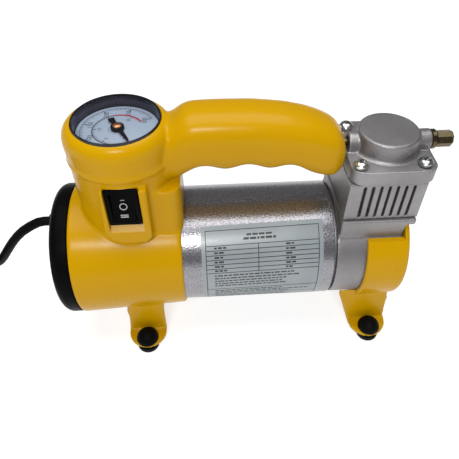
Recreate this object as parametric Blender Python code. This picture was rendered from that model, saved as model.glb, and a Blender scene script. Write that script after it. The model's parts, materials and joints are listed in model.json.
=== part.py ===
"""Portable 12 V tire inflator: single-cylinder pump on a round motor, with a grip handle.

Frame: metres, +Z up, +X along the motor from the end cap to the pump, and -Y towards
the side with the switch.  The origin is on the floor under the middle of the machine.
Lengths in this file are millimetres, and MM turns them into metres.
"""

import math

import bmesh
import bpy
from mathutils import Matrix, Vector

MM = 0.001

# Motor
AXIS_Z = 50.0              # height of the motor axis above the floor
CAN_R = 30.0
CAN_WALL = 2.0
CAN_X = (-79.5, 46.3)
SHAFT_R = 4.0

# Yellow housing: collar round the can, column, gauge cup and handle
COLLAR_X = (-82.2, -28.7)
COLLAR_R = (34.3, 31.8)    # at the end cap, at the open edge
BORE_R = 30.3
COLUMN_X = -52.7           # axis of the upright column and the gauge
COLUMN_R = 23.0
CUP_R = 23.8
CUP_Z = (111.8, 128.3)
CUP_BORE_R = 19.6
SPLIT_GAP = 0.3            # gap between the two housing halves
SWITCH_X = -52.2
SWITCH_Z = 97.9
SWITCH_W = 14.6
SWITCH_H = 20.4
SWITCH_Y = -22.0           # front plane of the switch frame
PLINTH_Y = -24.4

# Handle: stations along X with top, bottom and half width
HANDLE = (
    (-42.0, 127.0, 98.0, 13.0),
    (-30.0, 127.5, 99.0, 13.2),
    (-26.5, 130.6, 101.5, 13.6),
    (-22.0, 132.8, 103.6, 14.0),
    (-10.0, 133.1, 104.0, 14.0),
    (6.0, 132.7, 103.9, 14.0),
    (20.0, 131.0, 103.2, 13.8),
    (30.0, 128.6, 101.2, 13.5),
    (36.8, 125.9, 98.2, 13.1),
    (42.6, 122.6, 96.8, 12.4),
    (45.6, 119.4, 98.6, 11.0),
    (47.2, 114.5, 102.6, 8.2),
)
FINGER_X = (-16.4, 3.4, 23.2)   # middles of the finger hollows under the handle
FINGER_WIDTH = 9.9              # half of the pitch
FINGER_DEPTH = 3.4

# Pump
CYLINDER_X = 65.5
HEAD_X = 67.5
BORE = 12.0                # cylinder radius
CRANK_R = 6.0              # stroke is twice this
ROD_LENGTH = 27.0
CASE_X = (46.7, 78.9)
CASE_R = 29.8
PAD_Y = 21.5
PAD_TOP = 80.6
BLOCK_X = (48.0, 83.6)
BLOCK_Y = 19.6
BLOCK_TOP = 102.0
SLOT_X0 = 55.3
SLOT_PITCH = 3.75
SLOT_COUNT = 7
FLANGE_X = (48.2, 87.0)
FLANGE_Y = 20.2
PLATE_X = (49.8, 85.0)        # valve plate, held in a pocket under the head
PLATE_Y = 18.9
FLANGE_TOP = 109.2
HEAD_CAP_R = 13.8
HEAD_TOP = 117.9
PORT_Z = 111.7             # axis of both head ports
PORT_R = 4.9
SCREW_DX = 14.4
SCREW_DY = 15.0
COVER_X = (61.2, 82.3)
COVER_R = 32.2
COVER_TOP = 77.0

# Legs and feet
LEG_X = (-52.0, 72.0)
LEG_HALF = 10.3
LEG_Y = 24.5
TAB_Z = (3.8, 6.0)
TAB_ARC_Y = 25.8
FOOT_Y = 31.0
FOOT_R = 6.0

# Facets of the large round parts
ROUND = 40

# Power cord
CORD_R = 2.5
CORD_EXIT = (-97.8, 6.0, 64.0)
COIL_CENTRE = (-194.0, 6.0)
COIL_R = 29.0              # middle of the turns
COIL_HALF = 10.4           # half width of the wound bundle


# ---------------------------------------------------------------- helpers

def clear_scene():
    for item in list(bpy.data.objects):
        bpy.data.objects.remove(item, do_unlink=True)


def material(name, colour, roughness, metallic):
    """Principled material, made once for each name."""
    found = bpy.data.materials.get(name)
    if found:
        return found
    made = bpy.data.materials.new(name)
    made.use_nodes = True
    shader = made.node_tree.nodes["Principled BSDF"]
    shader.inputs["Base Color"].default_value = (*colour, 1.0)
    shader.inputs["Roughness"].default_value = roughness
    shader.inputs["Metallic"].default_value = metallic
    return made


def finish(kind):
    """The object's finishes by name."""
    finishes = {
        "yellow": ((0.68, 0.36, 0.01), 0.28, 0.0),
        "black": ((0.012, 0.012, 0.012), 0.4, 0.0),
        "rubber": ((0.015, 0.015, 0.015), 0.6, 0.0),
        "silver_paint": ((0.55, 0.55, 0.56), 0.35, 0.8),
        "cast": ((0.45, 0.45, 0.45), 0.45, 0.9),
        "steel": ((0.5, 0.5, 0.5), 0.25, 1.0),
        "zinc": ((0.6, 0.6, 0.58), 0.3, 1.0),
        "copper": ((0.6, 0.25, 0.12), 0.35, 1.0),
        "brass": ((0.45, 0.33, 0.12), 0.35, 1.0),
        "carbon": ((0.03, 0.03, 0.03), 0.7, 0.0),
        "ferrite": ((0.05, 0.05, 0.05), 0.6, 0.0),
        "bakelite": ((0.16, 0.07, 0.03), 0.5, 0.0),
        "ptfe": ((0.75, 0.75, 0.72), 0.5, 0.0),
        "white": ((0.8, 0.8, 0.82), 0.5, 0.0),
        "glass": ((0.9, 0.92, 0.92), 0.05, 0.0),
    }
    colour, roughness, metallic = finishes[kind]
    return material(kind, colour, roughness, metallic)


def node(name, bm, kind, origin=(0.0, 0.0, 0.0)):
    """Object from a bmesh in millimetres; origin is its pivot, in millimetres."""
    shift = Vector(origin)
    bmesh.ops.translate(bm, verts=bm.verts, vec=-shift)
    bmesh.ops.scale(bm, verts=bm.verts, vec=(MM, MM, MM))
    bmesh.ops.recalc_face_normals(bm, faces=bm.faces)
    mesh = bpy.data.meshes.new(name)
    bm.to_mesh(mesh)
    bm.free()
    made = bpy.data.objects.new(name, mesh)
    made.location = shift * MM
    made.data.materials.append(finish(kind))
    bpy.context.collection.objects.link(made)
    return made


def tool(bm):
    """Hidden shape in millimetres, used only to cut or add to another object."""
    bmesh.ops.recalc_face_normals(bm, faces=bm.faces)
    mesh = bpy.data.meshes.new("tool")
    bm.to_mesh(mesh)
    bm.free()
    made = bpy.data.objects.new("tool", mesh)
    made.hide_render = True
    made.display_type = "WIRE"
    bpy.context.collection.objects.link(made)
    return made


def triangulate(mesh):
    bm = bmesh.new()
    bm.from_mesh(mesh)
    bmesh.ops.triangulate(bm, faces=bm.faces)
    bm.to_mesh(mesh)
    bm.free()


def combine(target, operation, shapes):
    """Boolean the shapes (bmeshes) with the target, in millimetres, and keep the result.

    The manifold solver is used because the exact one leaves open edges where the
    housing's handle, column and collar run into each other.
    """
    target.data.transform(Matrix.Scale(1.0 / MM, 4))
    target.location /= MM
    triangulate(target.data)
    for shape in shapes:
        part = tool(shape)
        triangulate(part.data)
        step = target.modifiers.new(operation.lower(), "BOOLEAN")
        step.operation = operation
        step.solver = "MANIFOLD"
        step.object = part
        bpy.context.view_layer.update()
        graph = bpy.context.evaluated_depsgraph_get()
        result = bpy.data.meshes.new_from_object(target.evaluated_get(graph))
        target.modifiers.clear()
        triangulate(result)
        target.data = result
        bpy.data.objects.remove(part, do_unlink=True)
    tidy(target.data)
    target.data.transform(Matrix.Scale(MM, 4))
    target.location *= MM
    return target


def tidy(mesh):
    """Merge flat neighbouring triangles left by a Boolean, where that keeps the solid closed."""
    bm = bmesh.new()
    bm.from_mesh(mesh)
    bmesh.ops.dissolve_limit(bm, angle_limit=math.radians(0.1), verts=bm.verts, edges=bm.edges)
    bmesh.ops.triangulate(bm, faces=bm.faces)
    if all(len(edge.link_faces) == 2 for edge in bm.edges):
        bm.to_mesh(mesh)
    bm.free()


def cut(target, *shapes):
    return combine(target, "DIFFERENCE", shapes)


def add(target, *shapes):
    return combine(target, "UNION", shapes)


def keep(target, shape):
    return combine(target, "INTERSECT", [shape])


AXES = {
    "X": Matrix(((0, 0, 1), (1, 0, 0), (0, 1, 0))).to_4x4(),
    "Y": Matrix(((0, 1, 0), (0, 0, 1), (1, 0, 0))).to_4x4(),
    "Z": Matrix.Identity(4),
}


def turned(profile, axis="Z", centre=(0.0, 0.0, 0.0), segments=24, ring=False):
    """Solid of revolution from (along, radius) points; ring closes the profile on itself."""
    bm = bmesh.new()
    loops = []
    for along, radius in profile:
        if radius < 1e-6:
            loops.append([bm.verts.new((0.0, 0.0, along))])
            continue
        loop = []
        for step in range(segments):
            angle = 2.0 * math.pi * step / segments
            loop.append(bm.verts.new((radius * math.cos(angle), radius * math.sin(angle), along)))
        loops.append(loop)
    pairs = list(zip(loops, loops[1:]))
    if ring:
        pairs.append((loops[-1], loops[0]))
    for first, second in pairs:
        for step in range(segments):
            after = (step + 1) % segments
            if len(first) == 1:
                bm.faces.new((first[0], second[step], second[after]))
            elif len(second) == 1:
                bm.faces.new((first[step], second[0], first[after]))
            else:
                bm.faces.new((first[step], second[step], second[after], first[after]))
    if not ring:
        for loop in (loops[0], loops[-1]):
            if len(loop) > 1:
                bm.faces.new(loop)
    bmesh.ops.transform(bm, matrix=Matrix.Translation(Vector(centre)) @ AXES[axis], verts=bm.verts)
    bmesh.ops.recalc_face_normals(bm, faces=bm.faces)
    return bm


def rod(start, end, radius, axis="X", centre=(0.0, 0.0, 0.0), segments=16):
    """Plain round bar between two stations of an axis."""
    return turned([(start, radius), (end, radius)], axis, centre, segments)


def tube(start, end, inner, outer, axis="X", centre=(0.0, 0.0, 0.0), segments=24):
    profile = [(start, inner), (start, outer), (end, outer), (end, inner)]
    return turned(profile, axis, centre, segments, ring=True)


def box(x, y, z, bevel=0.0, segments=2):
    """Box between (low, high) pairs, with optional rounded edges."""
    bm = bmesh.new()
    bmesh.ops.create_cube(bm, size=1.0)
    size = Vector((x[1] - x[0], y[1] - y[0], z[1] - z[0]))
    centre = Vector((x[0] + x[1], y[0] + y[1], z[0] + z[1])) / 2.0
    bmesh.ops.scale(bm, verts=bm.verts, vec=size)
    if bevel > 0.0:
        bmesh.ops.bevel(bm, geom=bm.edges[:], offset=bevel, segments=segments, affect="EDGES")
    bmesh.ops.translate(bm, verts=bm.verts, vec=centre)
    return bm


def loft(rings):
    """Closed solid through rings that have the same number of points."""
    bm = bmesh.new()
    loops = [[bm.verts.new(point) for point in ring] for ring in rings]
    count = len(loops[0])
    for first, second in zip(loops, loops[1:]):
        for step in range(count):
            after = (step + 1) % count
            bm.faces.new((first[step], second[step], second[after], first[after]))
    bm.faces.new(loops[0])
    bm.faces.new(loops[-1])
    bmesh.ops.recalc_face_normals(bm, faces=bm.faces)
    return bm


def prism(outline, low, high, axis="Z"):
    """Extrude an outline of (u, v) points along an axis: XY for Z, YZ for X, ZX for Y."""
    rings = [[AXES[axis] @ Vector((u, v, level)) for u, v in outline] for level in (low, high)]
    return loft(rings)


def rounded_outline(x, y, radius, steps=4):
    """Rectangle between (low, high) pairs with round corners."""
    corners = (
        (x[1] - radius, y[1] - radius, 0.0),
        (x[0] + radius, y[1] - radius, 90.0),
        (x[0] + radius, y[0] + radius, 180.0),
        (x[1] - radius, y[0] + radius, 270.0),
    )
    points = []
    for centre_x, centre_y, start in corners:
        for step in range(steps + 1):
            angle = math.radians(start + 90.0 * step / steps)
            points.append((centre_x + radius * math.cos(angle), centre_y + radius * math.sin(angle)))
    return points


def sweep(points, radius, segments=10):
    """Round bar along a list of points."""
    path = [Vector(point) for point in points]
    rings = []
    side = None
    for index, point in enumerate(path):
        before = path[max(index - 1, 0)]
        after = path[min(index + 1, len(path) - 1)]
        along = (after - before).normalized()
        if side is None:
            side = along.orthogonal().normalized()
        side = (side - along * side.dot(along)).normalized()
        other = along.cross(side)
        ring = []
        for step in range(segments):
            angle = 2.0 * math.pi * step / segments
            ring.append(point + radius * (math.cos(angle) * side + math.sin(angle) * other))
        rings.append(ring)
    return loft(rings)


def arc(centre, radius, start, end, steps):
    """Points on an arc in a plane, angles in degrees."""
    points = []
    for step in range(steps + 1):
        angle = math.radians(start + (end - start) * step / steps)
        points.append((centre[0] + radius * math.cos(angle), centre[1] + radius * math.sin(angle)))
    return points


# ---------------------------------------------------------------- motor

def motor_can():
    centre = (0.0, 0.0, AXIS_Z)
    can = tube(CAN_X[0], CAN_X[1], CAN_R - CAN_WALL, CAN_R, "X", centre, ROUND)
    node("motor_can", can, "silver_paint")


def motor_ends():
    centre = (0.0, 0.0, AXIS_Z)
    bell = [(-79.0, 8.3), (-79.0, 27.7), (-76.0, 27.7), (-76.0, 11.0), (-70.0, 11.0), (-70.0, 8.3)]
    node("rear_bell", turned(bell, "X", centre, ring=True), "zinc")
    node("rear_bearing", tube(-78.5, -71.0, SHAFT_R + 0.2, 8.0, "X", centre, 16), "steel")
    node("front_bearing", tube(42.5, 49.0, SHAFT_R + 0.2, 8.7, "X", centre, 16), "steel")


def magnets():
    for name, middle in (("magnet_front", 180.0), ("magnet_rear", 0.0)):
        outer = arc((0.0, AXIS_Z), 27.4, middle - 66.0, middle + 66.0, 10)
        inner = arc((0.0, AXIS_Z), 23.9, middle + 66.0, middle - 66.0, 10)
        node(name, prism(outer + inner, -47.5, 24.5, "X"), "ferrite")


def rotor():
    centre = (0.0, 0.0, AXIS_Z)
    pivot = centre
    shaft = [(-77.5, 0.0), (-77.5, 3.4), (-76.9, SHAFT_R), (54.8, SHAFT_R), (55.4, 3.4), (55.4, 0.0)]
    node("motor_shaft", turned(shaft, "X", centre, 16), "steel", pivot)
    slots = 10
    outline = []
    for index in range(slots):
        base = 360.0 * index / slots
        outline += arc((0.0, AXIS_Z), 22.6, base + 5.0, base + 31.0, 3)
        outline += arc((0.0, AXIS_Z), 10.5, base + 27.0, base + 45.0, 1)
    core = node("armature_core", prism(outline, -41.5, 18.5, "X"), "steel", pivot)
    cut(core, rod(-45.0, 22.0, SHAFT_R + 0.2, "X", centre))
    heads = []
    for low, high in ((-52.0, -41.9), (18.9, 28.0)):
        profile = [(low, 5.0), (high, 5.0), (high, 18.0), (high - 2.5, 20.5)]
        profile += [(low + 2.5, 20.5), (low, 18.0)]
        heads.append(turned(profile, "X", centre, 20, ring=True))
    winding = node("armature_winding", heads[0], "copper", pivot)
    bars = []
    for index in range(slots):
        base = 360.0 * index / slots + 36.0
        bar = arc((0.0, AXIS_Z), 17.5, base - 1.6, base + 1.6, 1)
        bar += arc((0.0, AXIS_Z), 12.5, base + 1.6, base - 1.6, 1)
        bars.append(prism(bar, -43.0, 20.0, "X"))
    add(winding, heads[1], *bars)
    ring = [(-66.0, SHAFT_R + 0.2), (-66.0, 9.2), (-55.5, 9.2), (-55.5, 10.6), (-54.0, 10.6)]
    ring.append((-54.0, SHAFT_R + 0.2))
    node("commutator", turned(ring, "X", centre, 20, ring=True), "copper", pivot)


def brushes():
    centre = (0.0, 0.0, AXIS_Z)
    plate = node("brush_plate", tube(-69.0, -67.4, 11.2, 27.4, "X", centre), "bakelite")
    rails = []
    for side in (-1.0, 1.0):
        for edge in (-1.0, 1.0):
            y = sorted((side * 11.5, side * 22.0))
            z = sorted((AXIS_Z + edge * 3.7, AXIS_Z + edge * 4.9))
            rails.append(box((-67.8, -57.5), y, z))
    add(plate, *rails)
    for name, side in (("brush_front", -1.0), ("brush_rear", 1.0)):
        y = sorted((side * 9.6, side * 20.0))
        node(name, box((-65.0, -58.5), y, (AXIS_Z - 3.3, AXIS_Z + 3.3)), "carbon")


# ---------------------------------------------------------------- pump

def crank():
    centre = (0.0, 0.0, AXIS_Z)
    disc = node("crank_disc", rod(52.2, 56.8, 13.5, "X", centre, 28), "cast", centre)
    add(disc, rod(56.2, 70.3, 2.8, "X", (0.0, 0.0, AXIS_Z - CRANK_R)))
    cut(disc, rod(50.0, 55.7, SHAFT_R + 0.2, "X", centre))
    lightening = [(-9.0, AXIS_Z - 2.0), (-11.0, AXIS_Z - 13.0)]
    lightening += [(-22.0, AXIS_Z - 13.0), (-22.0, AXIS_Z + 1.0)]
    mirrored = [(-y, z) for y, z in lightening]
    cut(disc, prism(lightening, 50.0, 60.0, "X"), prism(mirrored, 50.0, 60.0, "X"))


def rod_and_piston():
    big_end = (0.0, 0.0, AXIS_Z - CRANK_R)
    small_end = (0.0, 0.0, AXIS_Z - CRANK_R + ROD_LENGTH)
    node("big_end_bearing", tube(62.0, 69.0, 3.0, 5.6, "X", big_end, 16), "steel", big_end)
    rod_body = node("connecting_rod", tube(62.2, 68.8, 5.85, 8.2, "X", big_end, 20), "cast", big_end)
    shank = box((64.0, 67.0), (-2.2, 2.2), (big_end[2] + 7.0, small_end[2] - 2.0))
    add(rod_body, shank, rod(63.3, 67.7, 3.0, "X", small_end, 16))
    cut(rod_body, rod(60.0, 70.0, 1.6, "X", small_end, 12))
    node("wrist_pin", rod(60.3, 70.7, 1.3, "X", small_end, 12), "steel", big_end)
    axis = (CYLINDER_X, 0.0, 0.0)
    profile = [
        (70.0, 9.7), (70.0, 11.6), (85.6, 11.6), (85.6, 10.6), (87.9, 10.6), (87.9, 11.6),
        (89.5, 11.6), (89.5, 0.0), (86.4, 0.0), (86.4, 9.7),
    ]
    node("piston", piston_solid(profile, axis), "cast")
    node("piston_seal", tube(85.8, 87.7, 10.75, 11.8, "Z", axis, 32), "ptfe")


def piston_solid(profile, axis):
    """Cup-shaped piston: its profile meets the axis twice, at the crown's two faces."""
    crown = profile.index((89.5, 0.0))
    walk = profile[crown + 1:] + profile[:crown + 1]
    return turned(walk, "Z", axis, 32)


def crankcase():
    centre = (0.0, 0.0, AXIS_Z)
    case = node("crankcase", turned([(CASE_X[0], CASE_R), (CASE_X[1], CASE_R)], "X", centre, ROUND), "cast")
    pad = box((47.5, CASE_X[1]), (-PAD_Y, PAD_Y), (AXIS_Z, PAD_TOP), 0.8, 1)
    ledge = box((CASE_X[1] - 3.1, BLOCK_X[1] - 0.3), (0.6 - PAD_Y, PAD_Y - 0.6), (COVER_TOP + 0.4, PAD_TOP - 0.3))
    add(case, pad, ledge, rod(40.5, 48.0, 27.4, "X", centre, 32))
    cut(case, rod(51.0, 90.0, 24.0, "X", centre, 32), rod(39.0, 52.0, 9.0, "X", centre, 16))
    cut(case, rod(AXIS_Z, PAD_TOP + 2.0, 13.2, "Z", (CYLINDER_X, 0.0, 0.0), 32))
    cut(case, tube(38.0, 45.5, 12.0, 25.0, "X", centre, 24))
    for y, z in cover_screw_places():
        cut(case, rod(70.0, 90.0, 1.8, "X", (0.0, y, z), 10))


def cover_screw_places():
    return [(side * 22.0, AXIS_Z - 15.5) for side in (-1.0, 1.0)]


def cylinder_block():
    outside = box(BLOCK_X, (-BLOCK_Y, BLOCK_Y), (PAD_TOP + 0.3, BLOCK_TOP), 1.0, 1)
    block = node("cylinder_block", outside, "cast")
    axis = (CYLINDER_X, 0.0, 0.0)
    add(block, rod(66.0, 90.0, 12.9, "Z", axis, 32))
    cut(block, rod(60.0, 110.0, BORE, "Z", axis, 32))
    slots = []
    for side in (-1.0, 1.0):
        for index in range(SLOT_COUNT):
            x = SLOT_X0 + SLOT_PITCH * index
            y = sorted((side * (BLOCK_Y - 3.2), side * (BLOCK_Y + 2.0)))
            slots.append(box((x - 0.62, x + 0.62), y, (82.0, 100.8)))
    cut(block, *slots)
    cut(block, *[rod(92.0, 110.0, 1.5, "Z", (x, y, 0.0), 10) for x, y in head_screw_places()])


def head_screw_places():
    places = []
    for dx in (-1.0, 1.0):
        for dy in (-1.0, 1.0):
            places.append((HEAD_X - 0.6 + dx * SCREW_DX, dy * SCREW_DY))
    return places


def valve_plate():
    outline = rounded_outline(PLATE_X, (-PLATE_Y, PLATE_Y), 4.0, 3)
    plate = node("valve_plate", prism(outline, BLOCK_TOP + 0.2, 104.1), "zinc")
    holes = [rod(100.0, 106.0, 1.9, "Z", (x, y, 0.0), 10) for x, y in head_screw_places()]
    holes.append(rod(100.0, 106.0, 2.4, "Z", (HEAD_X, 0.0, 0.0), 16))
    cut(plate, *holes)


def cylinder_head():
    outline = rounded_outline(FLANGE_X, (-FLANGE_Y, FLANGE_Y), 6.0, 3)
    head = node("cylinder_head", prism(outline, BLOCK_TOP + 0.3, FLANGE_TOP), "cast")
    pocket = rounded_outline((PLATE_X[0] - 0.3, PLATE_X[1] + 0.3), (-PLATE_Y - 0.3, PLATE_Y + 0.3), 4.0, 3)
    cut(head, prism(pocket, 100.0, 104.4))
    centre = (HEAD_X, 0.0, 0.0)
    cap = [(105.0, HEAD_CAP_R + 0.6), (HEAD_TOP - 0.8, HEAD_CAP_R), (HEAD_TOP, HEAD_CAP_R - 0.8)]
    port = (0.0, 0.0, PORT_Z)
    ports = rod(49.3, 87.0, PORT_R, "X", port, 20)
    webs = box((50.0, 86.0), (-PORT_R, PORT_R), (105.0, PORT_Z))
    add(head, turned(cap, "Z", centre, 36), ports, webs)
    chamber = rod(100.0, 113.6, 9.0, "Z", centre, 20)
    cut(head, chamber, rod(45.0, 90.0, 2.9, "X", port, 12))
    cut(head, *[rod(100.0, 120.0, 1.9, "Z", (x, y, 0.0), 10) for x, y in head_screw_places()])
    spot_faces = [rod(FLANGE_TOP, 120.0, 3.9, "Z", (x, y, 0.0), 14) for x, y in head_screw_places()]
    cut(head, *spot_faces)


def screw_profile(low, seat, head, shank_r, head_r):
    """Pan-head screw outline along its axis, with a cross recess left to the finish."""
    return [(low, 0.0), (low, shank_r), (seat, shank_r), (seat, head_r), (head - 0.7, head_r),
            (head, head_r - 1.0), (head, 0.0)]


def head_screws():
    for index, (x, y) in enumerate(head_screw_places()):
        profile = screw_profile(93.0, FLANGE_TOP + 0.2, FLANGE_TOP + 2.8, 1.2, 3.2)
        node(f"head_screw_{index + 1}", turned(profile, "Z", (x, y, 0.0), 12), "zinc")


def outlet_valve():
    centre = (HEAD_X, 0.0, 0.0)
    node("outlet_valve_disc", rod(104.4, 105.6, 4.4, "Z", centre, 24), "ptfe")
    turns = 3
    points = []
    for step in range(turns * 8 + 1):
        angle = 2.0 * math.pi * step / 8
        height = 106.3 + (112.6 - 106.3) * step / (turns * 8)
        points.append((HEAD_X + 3.0 * math.cos(angle), 3.0 * math.sin(angle), height))
    node("outlet_valve_spring", sweep(points, 0.4, 4), "steel")


def outlet_nipple():
    port = (0.0, 0.0, PORT_Z)
    profile = [
        (78.5, 1.6), (78.5, 2.5), (87.3, 2.5), (87.3, 4.6), (89.5, 4.6), (89.5, 3.8), (96.8, 3.8),
        (97.5, 3.2), (97.5, 1.6),
    ]
    node("outlet_nipple", turned(profile, "X", port, 28, ring=True), "brass")


# ---------------------------------------------------------------- legs, cover and feet

def leg_shapes(middle, side, top, flare=0.0):
    """Upright panel and foot tab of one leg, as bmeshes; side is -1 for front, 1 for rear."""
    outline = [(middle - LEG_HALF, TAB_Z[0]), (middle + LEG_HALF, TAB_Z[0]), (middle + LEG_HALF, top)]
    outline.append((middle - LEG_HALF - flare, top))
    if flare:
        outline.append((middle - LEG_HALF - flare, top - 6.0))
    inner = LEG_Y - 2.6
    y = sorted((side * inner, side * LEG_Y))
    turned_outline = [(z, x) for x, z in outline]
    panel = prism(turned_outline, y[0], y[1], "Y")
    tab = [(middle - LEG_HALF, side * (inner + 0.4)), (middle + LEG_HALF, side * (inner + 0.4))]
    if side < 0:
        tab += arc((middle, -TAB_ARC_Y), LEG_HALF, 0.0, -180.0, 8)
    else:
        tab += arc((middle, TAB_ARC_Y), LEG_HALF, 0.0, 180.0, 8)
    plate = prism(tab, TAB_Z[0], TAB_Z[1], "Z")
    return panel, plate


def foot_holes(middle):
    return [rod(0.0, 8.0, 3.2, "Z", (middle, side * FOOT_Y, 0.0), 12) for side in (-1.0, 1.0)]


def crankcase_cover():
    centre = (0.0, 0.0, AXIS_Z)
    disc = [(COVER_X[0], COVER_R), (COVER_X[1] - 2.0, COVER_R), (COVER_X[1], COVER_R - 2.0)]
    cover = node("crankcase_cover", turned(disc, "X", centre, ROUND), "yellow")
    shapes = []
    for side in (-1.0, 1.0):
        shapes += leg_shapes(LEG_X[1], side, 34.0, 8.0)
    shapes.append(box((61.5, 82.0), (-23.0, 23.0), (18.6, 22.0)))
    add(cover, *shapes)
    cut(cover, rod(40.0, 79.3, CASE_R + 0.4, "X", centre, ROUND))
    cut(cover, box((40.0, 79.3), (-40.0, 40.0), (70.3, 120.0)))
    cut(cover, box((70.0, 90.0), (-40.0, 40.0), (COVER_TOP, 120.0)))
    cut(cover, *foot_holes(LEG_X[1]))
    cut(cover, *[rod(76.0, 90.0, 1.9, "X", (0.0, y, z), 10) for y, z in cover_screw_places()])
    for index, (y, z) in enumerate(cover_screw_places()):
        profile = screw_profile(72.0, COVER_X[1] + 0.2, COVER_X[1] + 2.4, 1.5, 3.2)
        node(f"cover_screw_{index + 1}", turned(profile, "X", (0.0, y, z), 12), "zinc")


def rubber_feet():
    number = 0
    for middle in LEG_X:
        for side in (-1.0, 1.0):
            number += 1
            profile = [(0.0, 0.0), (0.0, 5.3), (0.7, 5.9), (3.5, 5.9), (3.5, 2.9), (6.3, 2.9)]
            profile.append((6.3, FOOT_R))
            for step in range(1, 4):
                angle = math.radians(90.0 * step / 4)
                profile.append((6.3 + FOOT_R * math.sin(angle), FOOT_R * math.cos(angle)))
            profile.append((6.3 + FOOT_R, 0.0))
            centre = (middle, side * FOOT_Y, 0.0)
            node(f"rubber_foot_{number}", turned(profile, "Z", centre, 14), "rubber")


# ---------------------------------------------------------------- yellow housing

def blend(x, table):
    """Values of the station table at x, on straight lines between stations."""
    for low, high in zip(table, table[1:]):
        if x <= high[0]:
            share = (x - low[0]) / (high[0] - low[0])
            return [a + (b - a) * share for a, b in zip(low[1:], high[1:])]
    return list(table[-1][1:])


def finger_lift(x):
    """How far the underside rises at x in a finger hollow."""
    lift = 0.0
    for middle in FINGER_X:
        gap = abs(x - middle) / FINGER_WIDTH
        if gap < 1.0:
            lift = FINGER_DEPTH * 0.5 * (1.0 + math.cos(math.pi * gap))
    return lift


def handle_ring(x, shrink, count):
    top, bottom, half = blend(x, HANDLE)
    middle = (top + bottom) / 2.0
    height = (top - bottom) / 2.0 - shrink
    width = half - shrink
    lift = finger_lift(x)
    power = 2.0 / 2.5
    ring = []
    for step in range(count):
        angle = 2.0 * math.pi * step / count
        c = math.cos(angle)
        s = math.sin(angle)
        y = width * math.copysign(abs(c) ** power, c)
        z = middle + height * math.copysign(abs(s) ** power, s)
        if s < 0.0:
            z += lift * abs(s) ** 1.5
        ring.append((x, y, z))
    return ring


def handle_loft(start, end, spacing, shrink, count):
    steps = round((end - start) / spacing)
    stations = [start + (end - start) * step / steps for step in range(steps + 1)]
    return loft([handle_ring(x, shrink, count) for x in stations])


def housing_outside():
    """Everything that the yellow moulding adds: collar, column, cup, plinth, handle, legs."""
    centre = (0.0, 0.0, AXIS_Z)
    collar = [(COLLAR_X[0], COLLAR_R[0] - 0.8), (COLLAR_X[0] + 0.8, COLLAR_R[0])]
    collar += [(COLLAR_X[1] - 1.0, COLLAR_R[1]), (COLLAR_X[1], COLLAR_R[1] - 1.0)]
    upright = (COLUMN_X, 0.0, 0.0)
    column = [(60.0, COLUMN_R), (CUP_Z[0] - 1.6, COLUMN_R), (CUP_Z[0], CUP_R), (CUP_Z[1] - 4.4, CUP_R - 0.1)]
    column += [(CUP_Z[1] - 1.9, CUP_R - 1.2), (CUP_Z[1] - 0.5, CUP_R - 2.8), (CUP_Z[1], CUP_R - 3.8)]
    shapes = [turned(column, "Z", upright, 36)]
    plinth = [(76.0, -41.5), (108.0, -41.0), (108.0, -61.2), (84.0, -62.8), (77.0, -58.0)]
    shapes.append(prism(plinth, PLINTH_Y, -5.0, "Y"))
    shoulder = rounded_outline((-56.0, COLLAR_X[1] - 0.5), (-17.5, 17.5), 6.0)
    shapes.append(prism(shoulder, 62.0, 101.0, "Z"))
    shapes.append(handle_loft(HANDLE[0][0], HANDLE[-1][0], 4.6, 0.0, 20))
    for side in (-1.0, 1.0):
        shapes += leg_shapes(LEG_X[0], side, 34.0)
    shapes.append(box((LEG_X[0] - 10.0, LEG_X[0] + 10.0), (-23.0, 23.0), (18.2, 22.0)))
    return turned(collar, "X", centre, ROUND), shapes


def housing_inside():
    """Everything cut out of the moulding."""
    centre = (0.0, 0.0, AXIS_Z)
    upright = (COLUMN_X, 0.0, 0.0)
    shapes = [rod(COLLAR_X[0] - 2.0, COLLAR_X[1] + 2.0, BORE_R, "X", centre, ROUND)]
    shapes.append(rod(AXIS_Z + 10.0, CUP_Z[1] + 2.0, CUP_BORE_R, "Z", upright, 28))
    shapes.append(handle_loft(-35.0, 44.0, 9.0, 2.8, 12))
    shapes.append(rod(42.0, 52.0, 2.2, "X", (0.0, 0.0, PORT_Z), 12))
    recess_x = (SWITCH_X - SWITCH_W / 2.0 - 0.3, SWITCH_X + SWITCH_W / 2.0 + 0.6)
    recess_z = (SWITCH_Z - SWITCH_H / 2.0 - 4.5, SWITCH_Z + SWITCH_H / 2.0 + 0.3)
    shapes.append(box(recess_x, (-30.0, SWITCH_Y + 0.3), recess_z))
    half_w = SWITCH_W / 2.0 - 0.7
    half_h = SWITCH_H / 2.0 - 0.7
    switch_x = (SWITCH_X - half_w, SWITCH_X + half_w)
    shapes.append(box(switch_x, (-30.0, -10.0), (SWITCH_Z - half_h, SWITCH_Z + half_h)))
    shapes += foot_holes(LEG_X[0])
    shapes.append(box((BLOCK_X[0] - 0.3, 60.0), (-20.0, 20.0), (90.0, BLOCK_TOP + 0.3)))
    return shapes


def housing_screw_places():
    return [(-14.0, 121.5), (22.0, 120.0)]


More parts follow.
